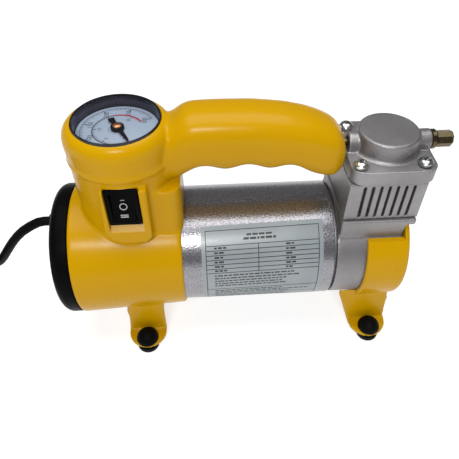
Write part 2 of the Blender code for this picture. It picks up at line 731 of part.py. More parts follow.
def housing():
    """Two mouldings that meet on the plane y = 0."""
    halves = (("housing_front", (-60.0, -SPLIT_GAP / 2.0)), ("housing_rear", (SPLIT_GAP / 2.0, 60.0)))
    for name, span in halves:
        base, extras = housing_outside()
        half = node(name, base, "yellow")
        add(half, *extras)
        cut(half, *housing_inside())
        posts = [rod(-12.5, 12.5, 3.9, "Y", (x, 0.0, z), 12) for x, z in housing_screw_places()]
        add(half, *posts)
        keep(half, box((-120.0, 80.0), span, (-10.0, 150.0)))
        holes = [rod(-8.0, 30.0, 1.8, "Y", (x, 0.0, z), 10) for x, z in housing_screw_places()]
        holes += [rod(9.6, 30.0, 3.6, "Y", (x, 0.0, z), 12) for x, z in housing_screw_places()]
        cut(half, *holes)
    for index, (x, z) in enumerate(housing_screw_places()):
        profile = screw_profile(-7.5, 9.8, 12.0, 1.4, 3.2)
        node(f"housing_screw_{index + 1}", turned(profile, "Y", (x, 0.0, z), 12), "zinc")


def end_cap():
    centre = (0.0, 0.0, AXIS_Z)
    outer = [(-82.4, 33.9), (-87.0, 34.0)]
    for degrees in (30.0, 60.0, 90.0):
        angle = math.radians(degrees)
        outer.append((-86.6 - 4.9 * math.sin(angle), 29.0 + 5.0 * math.cos(angle)))
    outer += [(-93.3, 18.0), (-94.5, 6.0), (-94.5, 0.0)]
    inner = [(-92.0, 0.0), (-91.0, 18.0), (-89.2, 28.5), (-87.0, 31.4), (-82.4, 31.4)]
    cap = node("end_cap", turned(inner + outer, "X", centre, 32), "black")
    y, z = CORD_EXIT[1], CORD_EXIT[2]
    cut(cap, rod(-100.0, -85.0, 3.9, "X", (0.0, y, z), 14))
    gland = [(-97.5, 2.8), (-97.5, 3.8), (-95.4, 4.8), (-94.9, 4.8), (-94.7, 3.5)]
    gland += [(-90.4, 3.5), (-90.0, 4.6), (-88.9, 4.6), (-88.9, 2.8)]
    node("cord_gland", turned(gland, "X", (0.0, y, z), 14, ring=True), "rubber")


# ---------------------------------------------------------------- gauge and switch

def gauge():
    centre = (COLUMN_X, 0.0, 0.0)
    case = [(113.5, 2.6), (113.5, 18.4), (114.5, 19.2), (126.1, 19.2)]
    case += [(126.1, 18.0), (115.0, 18.0), (115.0, 2.6)]
    node("gauge_case", turned(case, "Z", centre, 28, ring=True), "black")
    node("gauge_dial", tube(122.4, 123.0, 1.1, 17.4, "Z", centre, 28), "white")
    bezel = [(126.4, 17.9), (126.4, 19.3), (128.6, 19.3), (129.2, 18.7)]
    bezel += [(129.2, 17.2), (128.3, 17.2), (128.3, 17.9)]
    node("gauge_bezel", turned(bezel, "Z", centre, 32, ring=True), "steel")
    node("gauge_lens", rod(126.6, 128.0, 17.6, "Z", centre, 32), "glass")
    pointer()
    tube_points = []
    for step in range(17):
        angle = math.radians(-40.0 + 270.0 * step / 16)
        tube_points.append((COLUMN_X + 12.5 * math.cos(angle), 12.5 * math.sin(angle), 118.2))
    bourdon = node("bourdon_tube", sweep(tube_points, 1.4, 6), "brass")
    start = tube_points[0]
    feed = [(COLUMN_X, 0.0, 117.4), (start[0], start[1], 118.0)]
    add(bourdon, sweep(feed, 1.2, 6), rod(112.8, 118.6, 2.3, "Z", centre, 12))


def pointer():
    """Needle on its arbor; at rest it points to the start of the scale."""
    pivot = (COLUMN_X, 0.0, 124.1)
    direction = math.radians(-62.0)
    along = Vector((math.cos(direction), math.sin(direction), 0.0))
    side = Vector((-along.y, along.x, 0.0))
    widths = ((-7.7, 1.7), (-3.0, 1.1), (0.0, 1.2), (9.6, 0.5), (11.4, 0.25))
    left = [Vector(pivot) + along * d + side * w for d, w in widths]
    right = [Vector(pivot) + along * d - side * w for d, w in reversed(widths)]
    rings = []
    for level in (-0.3, 0.3):
        rings.append([point + Vector((0.0, 0.0, level)) for point in left + right])
    needle = node("gauge_pointer", loft(rings), "black", pivot)
    hub = [(120.0, 0.0), (120.0, 0.7), (123.3, 0.7), (123.3, 2.6), (125.3, 2.6), (125.7, 2.0), (125.7, 0.0)]
    add(needle, turned(hub, "Z", (COLUMN_X, 0.0, 0.0), 16))


def pressure_pipe():
    """Thin pipe from the head's left port, through the handle, to the gauge."""
    points = [(58.0, 0.0, PORT_Z), (44.0, 0.0, PORT_Z), (34.0, 0.0, 113.6), (-16.0, 0.0, 113.6)]
    points += [(-24.0, 0.0, 112.0), (-31.0, 0.0, 108.6), (-47.0, 0.0, 108.0), (-50.9, 0.0, 108.8)]
    points += [(COLUMN_X, 0.0, 110.6), (COLUMN_X, 0.0, 112.4)]
    node("pressure_pipe", sweep(points, 1.6, 8), "brass")


def switch():
    half_w = SWITCH_W / 2.0
    half_h = SWITCH_H / 2.0
    frame_x = (SWITCH_X - half_w, SWITCH_X + half_w)
    frame_z = (SWITCH_Z - half_h, SWITCH_Z + half_h)
    frame = box(frame_x, (SWITCH_Y - 1.4, SWITCH_Y + 0.1), frame_z, 0.4, 1)
    body = node("switch_body", frame, "black")
    neck_z = (SWITCH_Z - half_h + 1.0, SWITCH_Z + half_h - 1.0)
    add(body, box((SWITCH_X - half_w + 1.0, SWITCH_X + half_w - 1.0), (SWITCH_Y - 0.2, -10.5), neck_z))
    well_z = (SWITCH_Z - half_h + 2.0, SWITCH_Z + half_h - 2.0)
    cut(body, box((SWITCH_X - half_w + 2.0, SWITCH_X + half_w - 2.0), (SWITCH_Y - 4.0, -14.5), well_z))
    pivot = (SWITCH_X, SWITCH_Y + 2.0, SWITCH_Z)
    outline = [(-4.0, -7.3), (-2.0, 0.0), (-1.6, 7.3), (0.8, 7.0), (3.0, 0.0), (0.4, -7.0)]
    points = [(pivot[1] + y, SWITCH_Z + z) for y, z in outline]
    rocker = prism(points, SWITCH_X - half_w + 2.3, SWITCH_X + half_w - 2.3, "X")
    node("switch_rocker", rocker, "black", pivot)


# ---------------------------------------------------------------- cord and plug

def cord_points(knots, spacing):
    """Smooth route through chosen points, read at an even spacing."""
    path = [Vector(knot) for knot in knots]
    path = [path[0] * 2.0 - path[1]] + path + [path[-1] * 2.0 - path[-2]]
    fine = []
    for a, b, c, d in zip(path, path[1:], path[2:], path[3:]):
        for step in range(24):
            t = step / 24.0
            fine.append(0.5 * (2.0 * b + (c - a) * t + (2.0 * a - 5.0 * b + 4.0 * c - d) * t * t
                               + (3.0 * b - a - 3.0 * c + d) * t * t * t))
    fine.append(path[-2])
    length = sum((q - p).length for p, q in zip(fine, fine[1:]))
    count = max(2, round(length / spacing))
    points = [fine[0]]
    walked = 0.0
    for p, q in zip(fine, fine[1:]):
        step = (q - p).length
        while step > 0.0 and walked + step >= length * len(points) / count and len(points) < count:
            share = (length * len(points) / count - walked) / step
            points.append(p.lerp(q, share))
        walked += step
    points.append(fine[-1])
    return points


FLOOR_LIFT = CORD_R + 0.3
CORD_ROUTE = (
    CORD_EXIT,
    (-104.0, 6.0, 63.4),
    (-114.0, 6.4, 57.0),
    (-122.0, 8.0, 48.0),
    (-130.0, 11.0, 36.5),
    (-138.0, 16.0, 24.5),
    (-147.0, 23.5, 13.6),
    (-158.0, 33.5, 5.8),
    (-170.5, 41.6, FLOOR_LIFT),
    (-183.0, 47.1, FLOOR_LIFT),
)
TAIL_ROUTE = (
    (-233.9, -8.4, 15.0),
    (-235.6, -19.0, 11.4),
    (-233.2, -31.0, 7.4),
    (-226.5, -42.0, 5.4),
    (-217.5, -50.0, 7.4),
    (-209.5, -53.4, 10.6),
    (-202.4, -54.0, 11.2),
)
PLUG_Y = -54.0
PLUG_Z = 11.2
PLUG_X = -95.0             # shift of the plug's own stations along X


def cord_tube(name, knots):
    curve = bpy.data.curves.new(name, "CURVE")
    curve.dimensions = "3D"
    curve.bevel_depth = CORD_R * MM
    curve.bevel_resolution = 2
    curve.use_fill_caps = True
    curve.render_resolution_u = 0
    points = cord_points(knots, 6.0)
    line = curve.splines.new("POLY")
    line.points.add(len(points) - 1)
    for target, point in zip(line.points, points):
        target.co = (*(point * MM), 1.0)
    made = bpy.data.objects.new(name, curve)
    made.data.materials.append(finish("rubber"))
    bpy.context.collection.objects.link(made)


def cord():
    cord_tube("power_cord", CORD_ROUTE)
    cord_tube("cord_tail", TAIL_ROUTE)
    inner = COIL_R - COIL_HALF
    outer = COIL_R + COIL_HALF
    height = 2.0 * COIL_HALF
    profile = [(0.2, inner + 3.0), (0.2, outer - 3.0), (3.0, outer), (height - 3.0, outer)]
    profile += [(height, outer - 3.0), (height, inner + 3.0), (height - 3.0, inner), (3.0, inner)]
    centre = (COIL_CENTRE[0], COIL_CENTRE[1], 0.0)
    node("cord_coil", turned(profile, "Z", centre, 28, ring=True), "rubber")


def plug():
    """12 V accessory plug on its side, with its nose towards +X."""
    axis = (PLUG_X, PLUG_Y, PLUG_Z)
    body = [(-107.0, 0.0), (-107.0, 3.6), (-98.0, 5.0), (-92.0, 8.6), (-84.0, 10.9)]
    body += [(-70.0, 10.9), (-66.0, 9.6), (-48.0, 9.6), (-48.0, 5.2), (-56.0, 5.2), (-56.0, 0.0)]
    shell = node("plug_body", turned(body, "X", axis, 24), "black")
    wells = []
    for side in (-1.0, 1.0):
        span = sorted((PLUG_Y + side * 6.0, PLUG_Y + side * 12.0))
        wells.append(box((PLUG_X - 65.0, PLUG_X - 53.0), span, (PLUG_Z - 2.0, PLUG_Z + 2.0)))
    cut(shell, *wells)
    ring = [(-47.7, 3.4), (-47.7, 9.0), (-41.0, 7.0), (-41.0, 3.4)]
    node("plug_ring", turned(ring, "X", axis, 24, ring=True), "zinc")
    tip = [(-50.5, 0.0), (-50.5, 4.6), (-48.2, 4.6), (-48.2, 3.1), (-38.6, 3.1), (-36.6, 1.8), (-36.6, 0.0)]
    node("plug_tip", turned(tip, "X", axis, 16), "steel")
    for name, side in (("plug_contact_front", -1.0), ("plug_contact_rear", 1.0)):
        root = PLUG_Y + side * 8.3
        crest = PLUG_Y + side * 11.2
        outline = [(PLUG_X - 64.6, root), (PLUG_X - 59.0, crest), (PLUG_X - 53.4, root)]
        node(name, prism(outline, PLUG_Z - 1.7, PLUG_Z + 1.7, "Z"), "steel")


def main():
    clear_scene()
    motor_can()
    motor_ends()
    magnets()
    rotor()
    brushes()
    crank()
    rod_and_piston()
    crankcase()
    cylinder_block()
    valve_plate()
    cylinder_head()
    head_screws()
    outlet_valve()
    outlet_nipple()
    crankcase_cover()
    rubber_feet()
    housing()
    end_cap()
    gauge()
    pressure_pipe()
    switch()
    cord()
    plug()


main()
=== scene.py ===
"""Looks of the portable tire inflator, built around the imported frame.

Frame: metres, +Z up, +X from the end cap to the pump, -Y towards the switch.
Shapes are written in millimetres, and MM turns them into metres.
"""
import json
import math
import random

import bmesh
import bpy
from mathutils import Euler, Matrix, Vector


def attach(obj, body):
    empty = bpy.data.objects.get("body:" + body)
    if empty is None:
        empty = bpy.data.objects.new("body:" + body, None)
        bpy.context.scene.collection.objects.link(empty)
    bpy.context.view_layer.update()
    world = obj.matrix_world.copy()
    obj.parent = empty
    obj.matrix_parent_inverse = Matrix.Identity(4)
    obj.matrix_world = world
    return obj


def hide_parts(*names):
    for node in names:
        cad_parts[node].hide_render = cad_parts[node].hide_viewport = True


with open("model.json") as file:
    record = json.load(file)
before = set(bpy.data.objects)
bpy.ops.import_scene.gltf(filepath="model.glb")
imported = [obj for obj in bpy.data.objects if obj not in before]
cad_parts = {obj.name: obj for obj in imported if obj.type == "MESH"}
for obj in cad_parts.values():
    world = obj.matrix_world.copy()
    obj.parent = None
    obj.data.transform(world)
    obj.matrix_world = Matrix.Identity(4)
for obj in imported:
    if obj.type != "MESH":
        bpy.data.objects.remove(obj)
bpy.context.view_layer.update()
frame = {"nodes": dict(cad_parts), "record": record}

MM = 0.001

# Camera: place, lens, and turns about X, Y and Z away from looking straight down
EYE = (-14.98, -183.81, 247.46)
LENS = 39.2
CAMERA_TURN = (44.148, 0.154, -3.407)

# Motor and its label
AXIS_Z = 50.0                  # height of the motor's axis
LABEL_X = (-19.5, 39.8)
LABEL_ANGLE = (60.0, -37.0)    # top and bottom edges, up from the front horizontal
LABEL_TILT = 3.0               # how far the right end is turned up, in degrees
FOIL_R = 30.06                 # the label stands just off the can
PRINT_R = 30.1

# Housing
COLUMN_X = -52.7               # axis of the column and the gauge
COLUMN_OVAL = 0.945            # depth of the column over its width
SPLIT = 0.03                   # half of the gap between the two shells
HOUSING_SCREWS = ((-14.0, 121.5), (22.0, 120.0))
COVER_SCREW_Y = 22.0
COVER_SCREW_Z = 34.5
LEG_X = (-52.0, 72.0)
LEG_HALF = 10.3
LEG_Y = 24.5
LEG_TOP = 34.0
LEG_PANEL = 2.6                # thickness of the upright panel
LEG_TRIM = 2.6                 # how much narrower a leg is at its top
FOOT_Y = 31.0

# Handle: stations along X with top, bottom and half width
HANDLE = (
    (-42.0, 127.0, 98.0, 13.0),
    (-30.0, 127.5, 99.0, 13.2),
    (-26.5, 130.6, 101.5, 13.6),
    (-22.0, 132.8, 103.6, 14.0),
    (-10.0, 133.1, 104.0, 14.0),
    (6.0, 132.7, 103.9, 14.0),
    (20.0, 131.0, 103.2, 13.8),
    (30.0, 128.6, 101.2, 13.5),
    (36.8, 125.9, 98.2, 13.1),
    (42.6, 122.6, 96.8, 12.4),
    (45.6, 119.4, 98.6, 11.0),
    (47.2, 114.5, 102.6, 8.2),
)
FINGER_X = (-16.4, 3.4, 23.2)  # middles of the finger hollows
FINGER_HALF = 9.9              # half of the pitch
FINGER_DEPTH = 3.4
CORNER_REACH = 2.4             # how far the stations' corners are rounded

# Pump
CYLINDER_X = 65.5
BORE_R = 12.0
PAD_Y = 21.5
PAD_TOP = 80.6
BLOCK_X = (48.0, 83.6)
BLOCK_Y = 19.6
BLOCK_Z = (80.8, 102.0)
SLOT_START = 55.3
SLOT_PITCH = 3.75
SLOT_COUNT = 7
SLOT_HALF = 0.62
SLOT_Z = (82.0, 100.8)
HEAD_X = 67.5
HEAD_EDGE = (48.2, 87.0)
FLANGE_Y = 20.2
FLANGE_TOP = 109.2
PLATE_X = (49.5, 85.3)         # pocket for the valve plate
PLATE_Y = 19.2
HEAD_SCREW_X = (52.5, 81.3)
HEAD_SCREW_Y = 15.0
SCREW_HEAD_R = 3.2
PORT_Z = 111.7
PORT_R = 4.9

# Gauge and switch
DIAL_Z = 123.0
DIAL_R = 18.0
PRINT_LIFT = 0.03              # the print stands just off the dial
SCALE_START = -62.0
SCALE_SWEEP = 270.0
RED_START = -258.0             # where the red arc begins
OUTER_MARKS = 60
INNER_MARKS = 45
SWITCH_X = -52.2
SWITCH_Y = -22.0
SWITCH_Z = 97.9
SWITCH_HALF_W = 7.3
SWITCH_HALF_H = 10.2

# Cord, its coil and its plug
CORD_R = 2.5
FLOOR_LIFT = CORD_R + 0.3
CORD_EXIT = (-97.8, 6.0, 64.0)
CORD_ROUTE = (
    CORD_EXIT,
    (-104.0, 6.0, 63.4),
    (-114.0, 6.4, 57.0),
    (-122.0, 8.0, 48.0),
    (-130.0, 11.0, 36.5),
    (-138.0, 16.0, 24.5),
    (-147.0, 23.5, 13.6),
    (-158.0, 33.5, 5.8),
    (-170.5, 41.6, FLOOR_LIFT),
    (-183.0, 47.1, FLOOR_LIFT),
)
TAIL_ROUTE = (
    (-233.9, -8.4, 15.0),
    (-235.6, -19.0, 11.4),
    (-233.2, -31.0, 7.4),
    (-226.5, -42.0, 5.4),
    (-217.5, -50.0, 7.4),
    (-209.5, -53.4, 10.6),
    (-202.4, -54.0, 11.2),
)
ROUTE_SPACING = 5.0
COIL_SPACING = 12.0            # degrees from one point of the coil to the next
COIL_CENTRE = (-194.0, 6.0)
COIL_OUTER = 36.9              # middle of the outermost turn
COIL_STEP = 5.2                # from one turn to the next, outwards
COIL_RISE = 5.1                # from one layer to the next
COIL_LAYERS = 4
COIL_HOPS = 3                  # moves to the next turn within a layer
COIL_START = 75.0              # where the cord reaches the coil, in degrees
COIL_END = 5135.0              # how far it has gone round when it leaves
FIRST_HOP = 390.0
FIRST_RISE = 1410.0
LAYER_SWEEP = 1320.0
SHIFT = 60.0                   # arc over which the cord moves over to the next turn
ARRIVING = 5.6                 # how far outside the coil the cord comes in
PLUG_AT = (-95.0, -54.0, 11.2)


# ---------------------------------------------------------------- camera

def camera():
    turn = Euler([math.radians(angle) for angle in CAMERA_TURN])
    data = bpy.data.cameras.new("view")
    data.lens = LENS
    data.sensor_width = 36.0
    data.clip_start = 0.01
    made = bpy.data.objects.new("view", data)
    made.matrix_world = Matrix.LocRotScale(Vector(EYE) * MM, turn, None)
    bpy.context.collection.objects.link(made)
    bpy.context.scene.camera = made


camera()


# ---------------------------------------------------------------- materials

def nodes_of(name):
    made = bpy.data.materials.new(name)
    made.use_nodes = True
    tree = made.node_tree
    return made, tree, tree.nodes["Principled BSDF"]


def noise(tree, scale, detail=3.0, roughness=0.5):
    """Noise on the object's own coordinates; scale is in cells to a metre."""
    where = tree.nodes.new("ShaderNodeTexCoord")
    made = tree.nodes.new("ShaderNodeTexNoise")
    made.inputs["Scale"].default_value = scale
    made.inputs["Detail"].default_value = detail
    made.inputs["Roughness"].default_value = roughness
    tree.links.new(where.outputs["Object"], made.inputs["Vector"])
    return made.outputs["Fac"]


def ramp(tree, source, low, high, first, second):
    """Colour or grey that runs from first to second as the source goes from low to high."""
    made = tree.nodes.new("ShaderNodeValToRGB")
    made.color_ramp.elements[0].position = low
    made.color_ramp.elements[1].position = high
    made.color_ramp.elements[0].color = (*first, 1.0)
    made.color_ramp.elements[1].color = (*second, 1.0)
    tree.links.new(source, made.inputs["Fac"])
    return made.outputs["Color"]


def bump(tree, shader, source, strength, depth):
    made = tree.nodes.new("ShaderNodeBump")
    made.inputs["Strength"].default_value = strength
    made.inputs["Distance"].default_value = depth
    tree.links.new(source, made.inputs["Height"])
    tree.links.new(made.outputs["Normal"], shader.inputs["Normal"])


def surface(name, first, second, metallic, rough, grain, depth, strength=0.4, patches=40.0):
    """Two close colours in soft patches, a roughness range, and a grain of bumps."""
    made, tree, shader = nodes_of(name)
    shader.inputs["Metallic"].default_value = metallic
    colour = ramp(tree, noise(tree, patches), 0.35, 0.65, first, second)
    tree.links.new(colour, shader.inputs["Base Color"])
    fine = noise(tree, grain, 4.0)
    low = (rough[0],) * 3
    high = (rough[1],) * 3
    tree.links.new(ramp(tree, fine, 0.3, 0.7, low, high), shader.inputs["Roughness"])
    bump(tree, shader, fine, strength, depth)
    return made


def hammered(name):
    """Silver hammer-finish paint: small rounded dimples in a bright metallic coat."""
    made, tree, shader = nodes_of(name)
    shader.inputs["Metallic"].default_value = 0.85
    where = tree.nodes.new("ShaderNodeTexCoord")
    cells = tree.nodes.new("ShaderNodeTexVoronoi")
    cells.feature = "SMOOTH_F1"
    cells.inputs["Scale"].default_value = 1500.0
    tree.links.new(where.outputs["Object"], cells.inputs["Vector"])
    distance = cells.outputs["Distance"]
    colour = ramp(tree, distance, 0.1, 0.7, (0.36, 0.355, 0.375), (0.22, 0.215, 0.235))
    tree.links.new(colour, shader.inputs["Base Color"])
    rough = ramp(tree, noise(tree, 1500.0), 0.3, 0.7, (0.22,) * 3, (0.32,) * 3)
    tree.links.new(rough, shader.inputs["Roughness"])
    bump(tree, shader, distance, 0.4, 0.00014)
    return made


def clear_glass(name):
    """Thin clear lens: mostly see-through, with a gloss that grows at low angles."""
    made, tree, shader = nodes_of(name)
    shader.inputs["Base Color"].default_value = (0.05, 0.05, 0.06, 1.0)
    shader.inputs["Roughness"].default_value = 0.02
    shader.inputs["IOR"].default_value = 1.5
    shader.inputs["Alpha"].default_value = 0.09
    return made


# Name, two colours, metallic, range of roughness, cells of grain to a metre and its depth in
# metres; then, where they differ, how strong the grain is and the colour patches to a metre
SURFACES = (
    ("yellow_plastic", (0.49, 0.262, 0.0), (0.52, 0.28, 0.0), 0.0, (0.22, 0.28), 500.0, 1e-5, 0.1, 12.0),
    ("black_plastic", (0.002,) * 3, (0.004,) * 3, 0.0, (0.28, 0.42), 1500.0, 4e-5),
    ("black_rubber", (0.002,) * 3, (0.004,) * 3, 0.0, (0.45, 0.62), 1200.0, 6e-5),
    ("cast_aluminium", (0.24, 0.23, 0.235), (0.31, 0.30, 0.305), 0.85, (0.36, 0.54), 1800.0, 1.6e-4, 0.8),
    ("steel", (0.48,) * 3, (0.56,) * 3, 1.0, (0.18, 0.3), 1200.0, 3e-5),
    ("zinc_plate", (0.55, 0.56, 0.55), (0.68, 0.67, 0.62), 1.0, (0.16, 0.3), 900.0, 3e-5),
    ("copper", (0.58, 0.22, 0.10), (0.66, 0.30, 0.15), 1.0, (0.28, 0.4), 1500.0, 1e-4),
    ("brass", (0.11, 0.09, 0.05), (0.17, 0.135, 0.07), 1.0, (0.22, 0.36), 900.0, 4e-5),
    ("carbon", (0.02,) * 3, (0.04,) * 3, 0.0, (0.6, 0.8), 2500.0, 8e-5),
    ("ferrite", (0.03,) * 3, (0.06,) * 3, 0.0, (0.5, 0.7), 2000.0, 8e-5),
    ("phenolic", (0.13, 0.055, 0.02), (0.2, 0.09, 0.04), 0.0, (0.4, 0.55), 1500.0, 5e-5),
    ("ptfe", (0.70, 0.70, 0.67), (0.8, 0.8, 0.77), 0.0, (0.35, 0.5), 1200.0, 3e-5),
    ("dial_white", (0.36, 0.44, 0.56), (0.42, 0.50, 0.62), 0.0, (0.3, 0.4), 900.0, 1e-5),
    ("label_foil", (0.24, 0.275, 0.29), (0.29, 0.32, 0.335), 0.1, (0.3, 0.42), 1500.0, 2e-5),
    ("gauge_wall", (0.07, 0.065, 0.085), (0.10, 0.095, 0.115), 0.85, (0.16, 0.22), 300.0, 5e-6),
    ("bezel_dark", (0.03, 0.03, 0.035), (0.05, 0.05, 0.055), 0.8, (0.12, 0.22), 900.0, 1e-5),
    ("ink_black", (0.012,) * 3, (0.02,) * 3, 0.0, (0.4, 0.55), 1500.0, 1e-5),
    ("ink_red", (0.45, 0.02, 0.03), (0.5, 0.03, 0.04), 0.0, (0.4, 0.55), 1500.0, 1e-5),
    ("ink_white", (0.36, 0.37, 0.40), (0.44, 0.45, 0.48), 0.0, (0.4, 0.55), 1500.0, 1e-5),
)
MATERIALS = {name: surface(name, *values) for name, *values in SURFACES}
MATERIALS["silver_paint"] = hammered("silver_paint")
MATERIALS["clear_glass"] = clear_glass("clear_glass")
SHEEN = {"yellow_plastic": 0.12, "black_plastic": 0.02, "black_rubber": 0.04}
for slot_name, level in SHEEN.items():
    slot_shader = MATERIALS[slot_name].node_tree.nodes["Principled BSDF"]
    slot_shader.inputs["Specular IOR Level"].default_value = level

SLOTS = {entry["node"]: entry["material_slot"] for entry in frame["record"]["subparts"]}
for node_name, node_object in frame["nodes"].items():
    node_object.data.materials.clear()
    node_object.data.materials.append(MATERIALS[SLOTS[node_name]])


# ---------------------------------------------------------------- mesh helpers, in millimetres

AXES = {
    "X": Matrix(((0, 0, 1), (1, 0, 0), (0, 1, 0))).to_4x4(),
    "Y": Matrix(((0, 1, 0), (0, 0, 1), (1, 0, 0))).to_4x4(),
    "Z": Matrix.Identity(4),
}


def turned(profile, axis="Z", centre=(0.0, 0.0, 0.0), segments=64, ring=False):
    """Solid of revolution from (along, radius) points; ring closes the profile on itself."""
    bm = bmesh.new()
    loops = []
    for along, radius in profile:
        if radius < 1e-6:
            loops.append([bm.verts.new((0.0, 0.0, along))])
            continue
        loop = []
        for step in range(segments):
            angle = 2.0 * math.pi * step / segments
            loop.append(bm.verts.new((radius * math.cos(angle), radius * math.sin(angle), along)))
        loops.append(loop)
    pairs = list(zip(loops, loops[1:]))
    if ring:
        pairs.append((loops[-1], loops[0]))
    for first, second in pairs:
        for step in range(segments):
            after = (step + 1) % segments
            if len(first) == 1:
                bm.faces.new((first[0], second[step], second[after]))
            elif len(second) == 1:
                bm.faces.new((first[step], second[0], first[after]))
            else:
                bm.faces.new((first[step], second[step], second[after], first[after]))
    if not ring:
        for loop in (loops[0], loops[-1]):
            if len(loop) > 1:
                bm.faces.new(loop)
    bmesh.ops.transform(bm, matrix=Matrix.Translation(Vector(centre)) @ AXES[axis], verts=bm.verts)
    bmesh.ops.recalc_face_normals(bm, faces=bm.faces)
    return bm


def rod(start, end, radius, axis="X", centre=(0.0, 0.0, 0.0), segments=48):
    return turned([(start, radius), (end, radius)], axis, centre, segments)


def box(x, y, z, bevel=0.0):
    bm = bmesh.new()
    bmesh.ops.create_cube(bm, size=1.0)
    bmesh.ops.scale(bm, verts=bm.verts, vec=(x[1] - x[0], y[1] - y[0], z[1] - z[0]))
    if bevel > 0.0:
        bmesh.ops.bevel(bm, geom=bm.edges[:], offset=bevel, segments=3, affect="EDGES", profile=0.5)
    middle = Vector((x[0] + x[1], y[0] + y[1], z[0] + z[1])) / 2.0
    bmesh.ops.translate(bm, verts=bm.verts, vec=middle)
    return bm


def loft(rings):
    """Closed solid through rings that have the same number of points."""
    bm = bmesh.new()
    loops = [[bm.verts.new(point) for point in ring] for ring in rings]
    count = len(loops[0])
    for first, second in zip(loops, loops[1:]):
        for step in range(count):
            after = (step + 1) % count
            bm.faces.new((first[step], second[step], second[after], first[after]))
    bm.faces.new(loops[0])
    bm.faces.new(loops[-1])
    bmesh.ops.recalc_face_normals(bm, faces=bm.faces)
    return bm


def prism(outline, low, high, axis="Z"):
    """Extrude an outline of (u, v) points along an axis: XY for Z, YZ for X, ZX for Y."""
    return loft([[AXES[axis] @ Vector((u, v, level)) for u, v in outline] for level in (low, high)])


def arc(centre, radius, start, end, steps):
    angles = [math.radians(start + (end - start) * step / steps) for step in range(steps + 1)]
    return [(centre[0] + radius * math.cos(a), centre[1] + radius * math.sin(a)) for a in angles]


def rounded_outline(x, y, radius, steps=6):
    points = []
    for corner_x, corner_y, start in (
        (x[1] - radius, y[1] - radius, 0.0),
        (x[0] + radius, y[1] - radius, 90.0),
        (x[0] + radius, y[0] + radius, 180.0),
        (x[1] - radius, y[0] + radius, 270.0),
    ):
        points += arc((corner_x, corner_y), radius, start, start + 90.0, steps)
    return points


def as_object(name, bm):
    mesh = bpy.data.meshes.new(name)
    bm.to_mesh(mesh)
    bm.free()
    made = bpy.data.objects.new(name, mesh)
    bpy.context.collection.objects.link(made)
    return made


def joined(shapes):
    """One bmesh that holds all the shapes."""
    whole = bmesh.new()
    for shape in shapes:
        mesh = bpy.data.meshes.new("part")
        shape.to_mesh(mesh)
        shape.free()
        whole.from_mesh(mesh)
        bpy.data.meshes.remove(mesh)
    return whole


def apply_modifiers(target):
    bpy.context.view_layer.update()
    graph = bpy.context.evaluated_depsgraph_get()
    result = bpy.data.meshes.new_from_object(target.evaluated_get(graph))
    target.modifiers.clear()
    target.data = result


def melted(target, voxel, rounds):
    """Rebuild the mesh as one skin with rounded edges and filleted corners."""
    melt = target.modifiers.new("melt", "REMESH")
    melt.mode = "VOXEL"
    melt.voxel_size = voxel
    soften = target.modifiers.new("soften", "SMOOTH")
    soften.factor = 0.5
    soften.iterations = rounds
    apply_modifiers(target)
    return target


def moulded(name, shapes, voxel, rounds):
    """One softened skin around overlapping shapes."""
    return melted(as_object(name, joined(shapes)), voxel, rounds)


def triangulate(mesh):
    bm = bmesh.new()
    bm.from_mesh(mesh)
    bmesh.ops.triangulate(bm, faces=bm.faces)
    bm.to_mesh(mesh)
    bm.free()


def combine(target, operation, shapes):
    triangulate(target.data)
    for shape in shapes:
        part = as_object("tool", shape)
        triangulate(part.data)
        step = target.modifiers.new("step", "BOOLEAN")
        step.operation = operation
        step.solver = "MANIFOLD"
        step.object = part
        apply_modifiers(target)
        bpy.data.objects.remove(part, do_unlink=True)
    return target


def cut(target, *shapes):
    return combine(target, "DIFFERENCE", shapes)


def add(target, *shapes):
    return combine(target, "UNION", shapes)


def place(target, slot, body="machine", replaced=(), material=None, angle=40.0):
    """Scale to metres, smooth the shading, give the material, and hang the piece on its body."""
    target.data.transform(Matrix.Scale(MM, 4))
    for polygon in target.data.polygons:
        polygon.use_smooth = True
    target.data.set_sharp_from_angle(angle=math.radians(angle))
    target.data.materials.clear()
    target.data.materials.append(material or MATERIALS[slot])
    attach(target, body)
    if replaced:
        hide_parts(*replaced)
    return target


# ---------------------------------------------------------------- cord, first because it must fit

def through(knots, spacing):
    """Points on a smooth curve through the knots, about evenly spaced."""
    path = [Vector(knot) for knot in knots]
    path = [path[0] * 2.0 - path[1]] + path + [path[-1] * 2.0 - path[-2]]
    points = []
    for a, b, c, d in zip(path, path[1:], path[2:], path[3:]):
        steps = max(2, round((c - b).length / spacing))
        for step in range(steps):
            t = step / steps
            points.append(0.5 * (2.0 * b + (c - a) * t + (2.0 * a - 5.0 * b + 4.0 * c - d) * t * t
                                 + (3.0 * b - a - 3.0 * c + d) * t * t * t))
    points.append(path[-2])
    return points


def eased(value):
    """Smooth step from 0 to 1."""
    value = min(1.0, max(0.0, value))
    return value * value * (3.0 - 2.0 * value)


def coil_point(turned_by):
    """Point of the winding after so many degrees, in layers of nearly four turns on one another."""
    column = 0.0
    layer = 0.0
    for level in range(COIL_LAYERS):
        sense = 1.0 if level % 2 == 0 else -1.0
        for hop in range(COIL_HOPS):
            middle = FIRST_HOP + 360.0 * hop + LAYER_SWEEP * level
            column += sense * eased((turned_by - middle) / SHIFT + 0.5)
        if level < COIL_LAYERS - 1:
            layer += eased((turned_by - FIRST_RISE - LAYER_SWEEP * level) / SHIFT + 0.5)
    outside = ARRIVING * (1.0 - eased(turned_by / SHIFT))
    radius = COIL_OUTER - COIL_STEP * column + outside
    angle = math.radians(COIL_START + turned_by)
    x = COIL_CENTRE[0] + radius * math.cos(angle)
    y = COIL_CENTRE[1] + radius * math.sin(angle)
    return Vector((x, y, FLOOR_LIFT + COIL_RISE * layer))


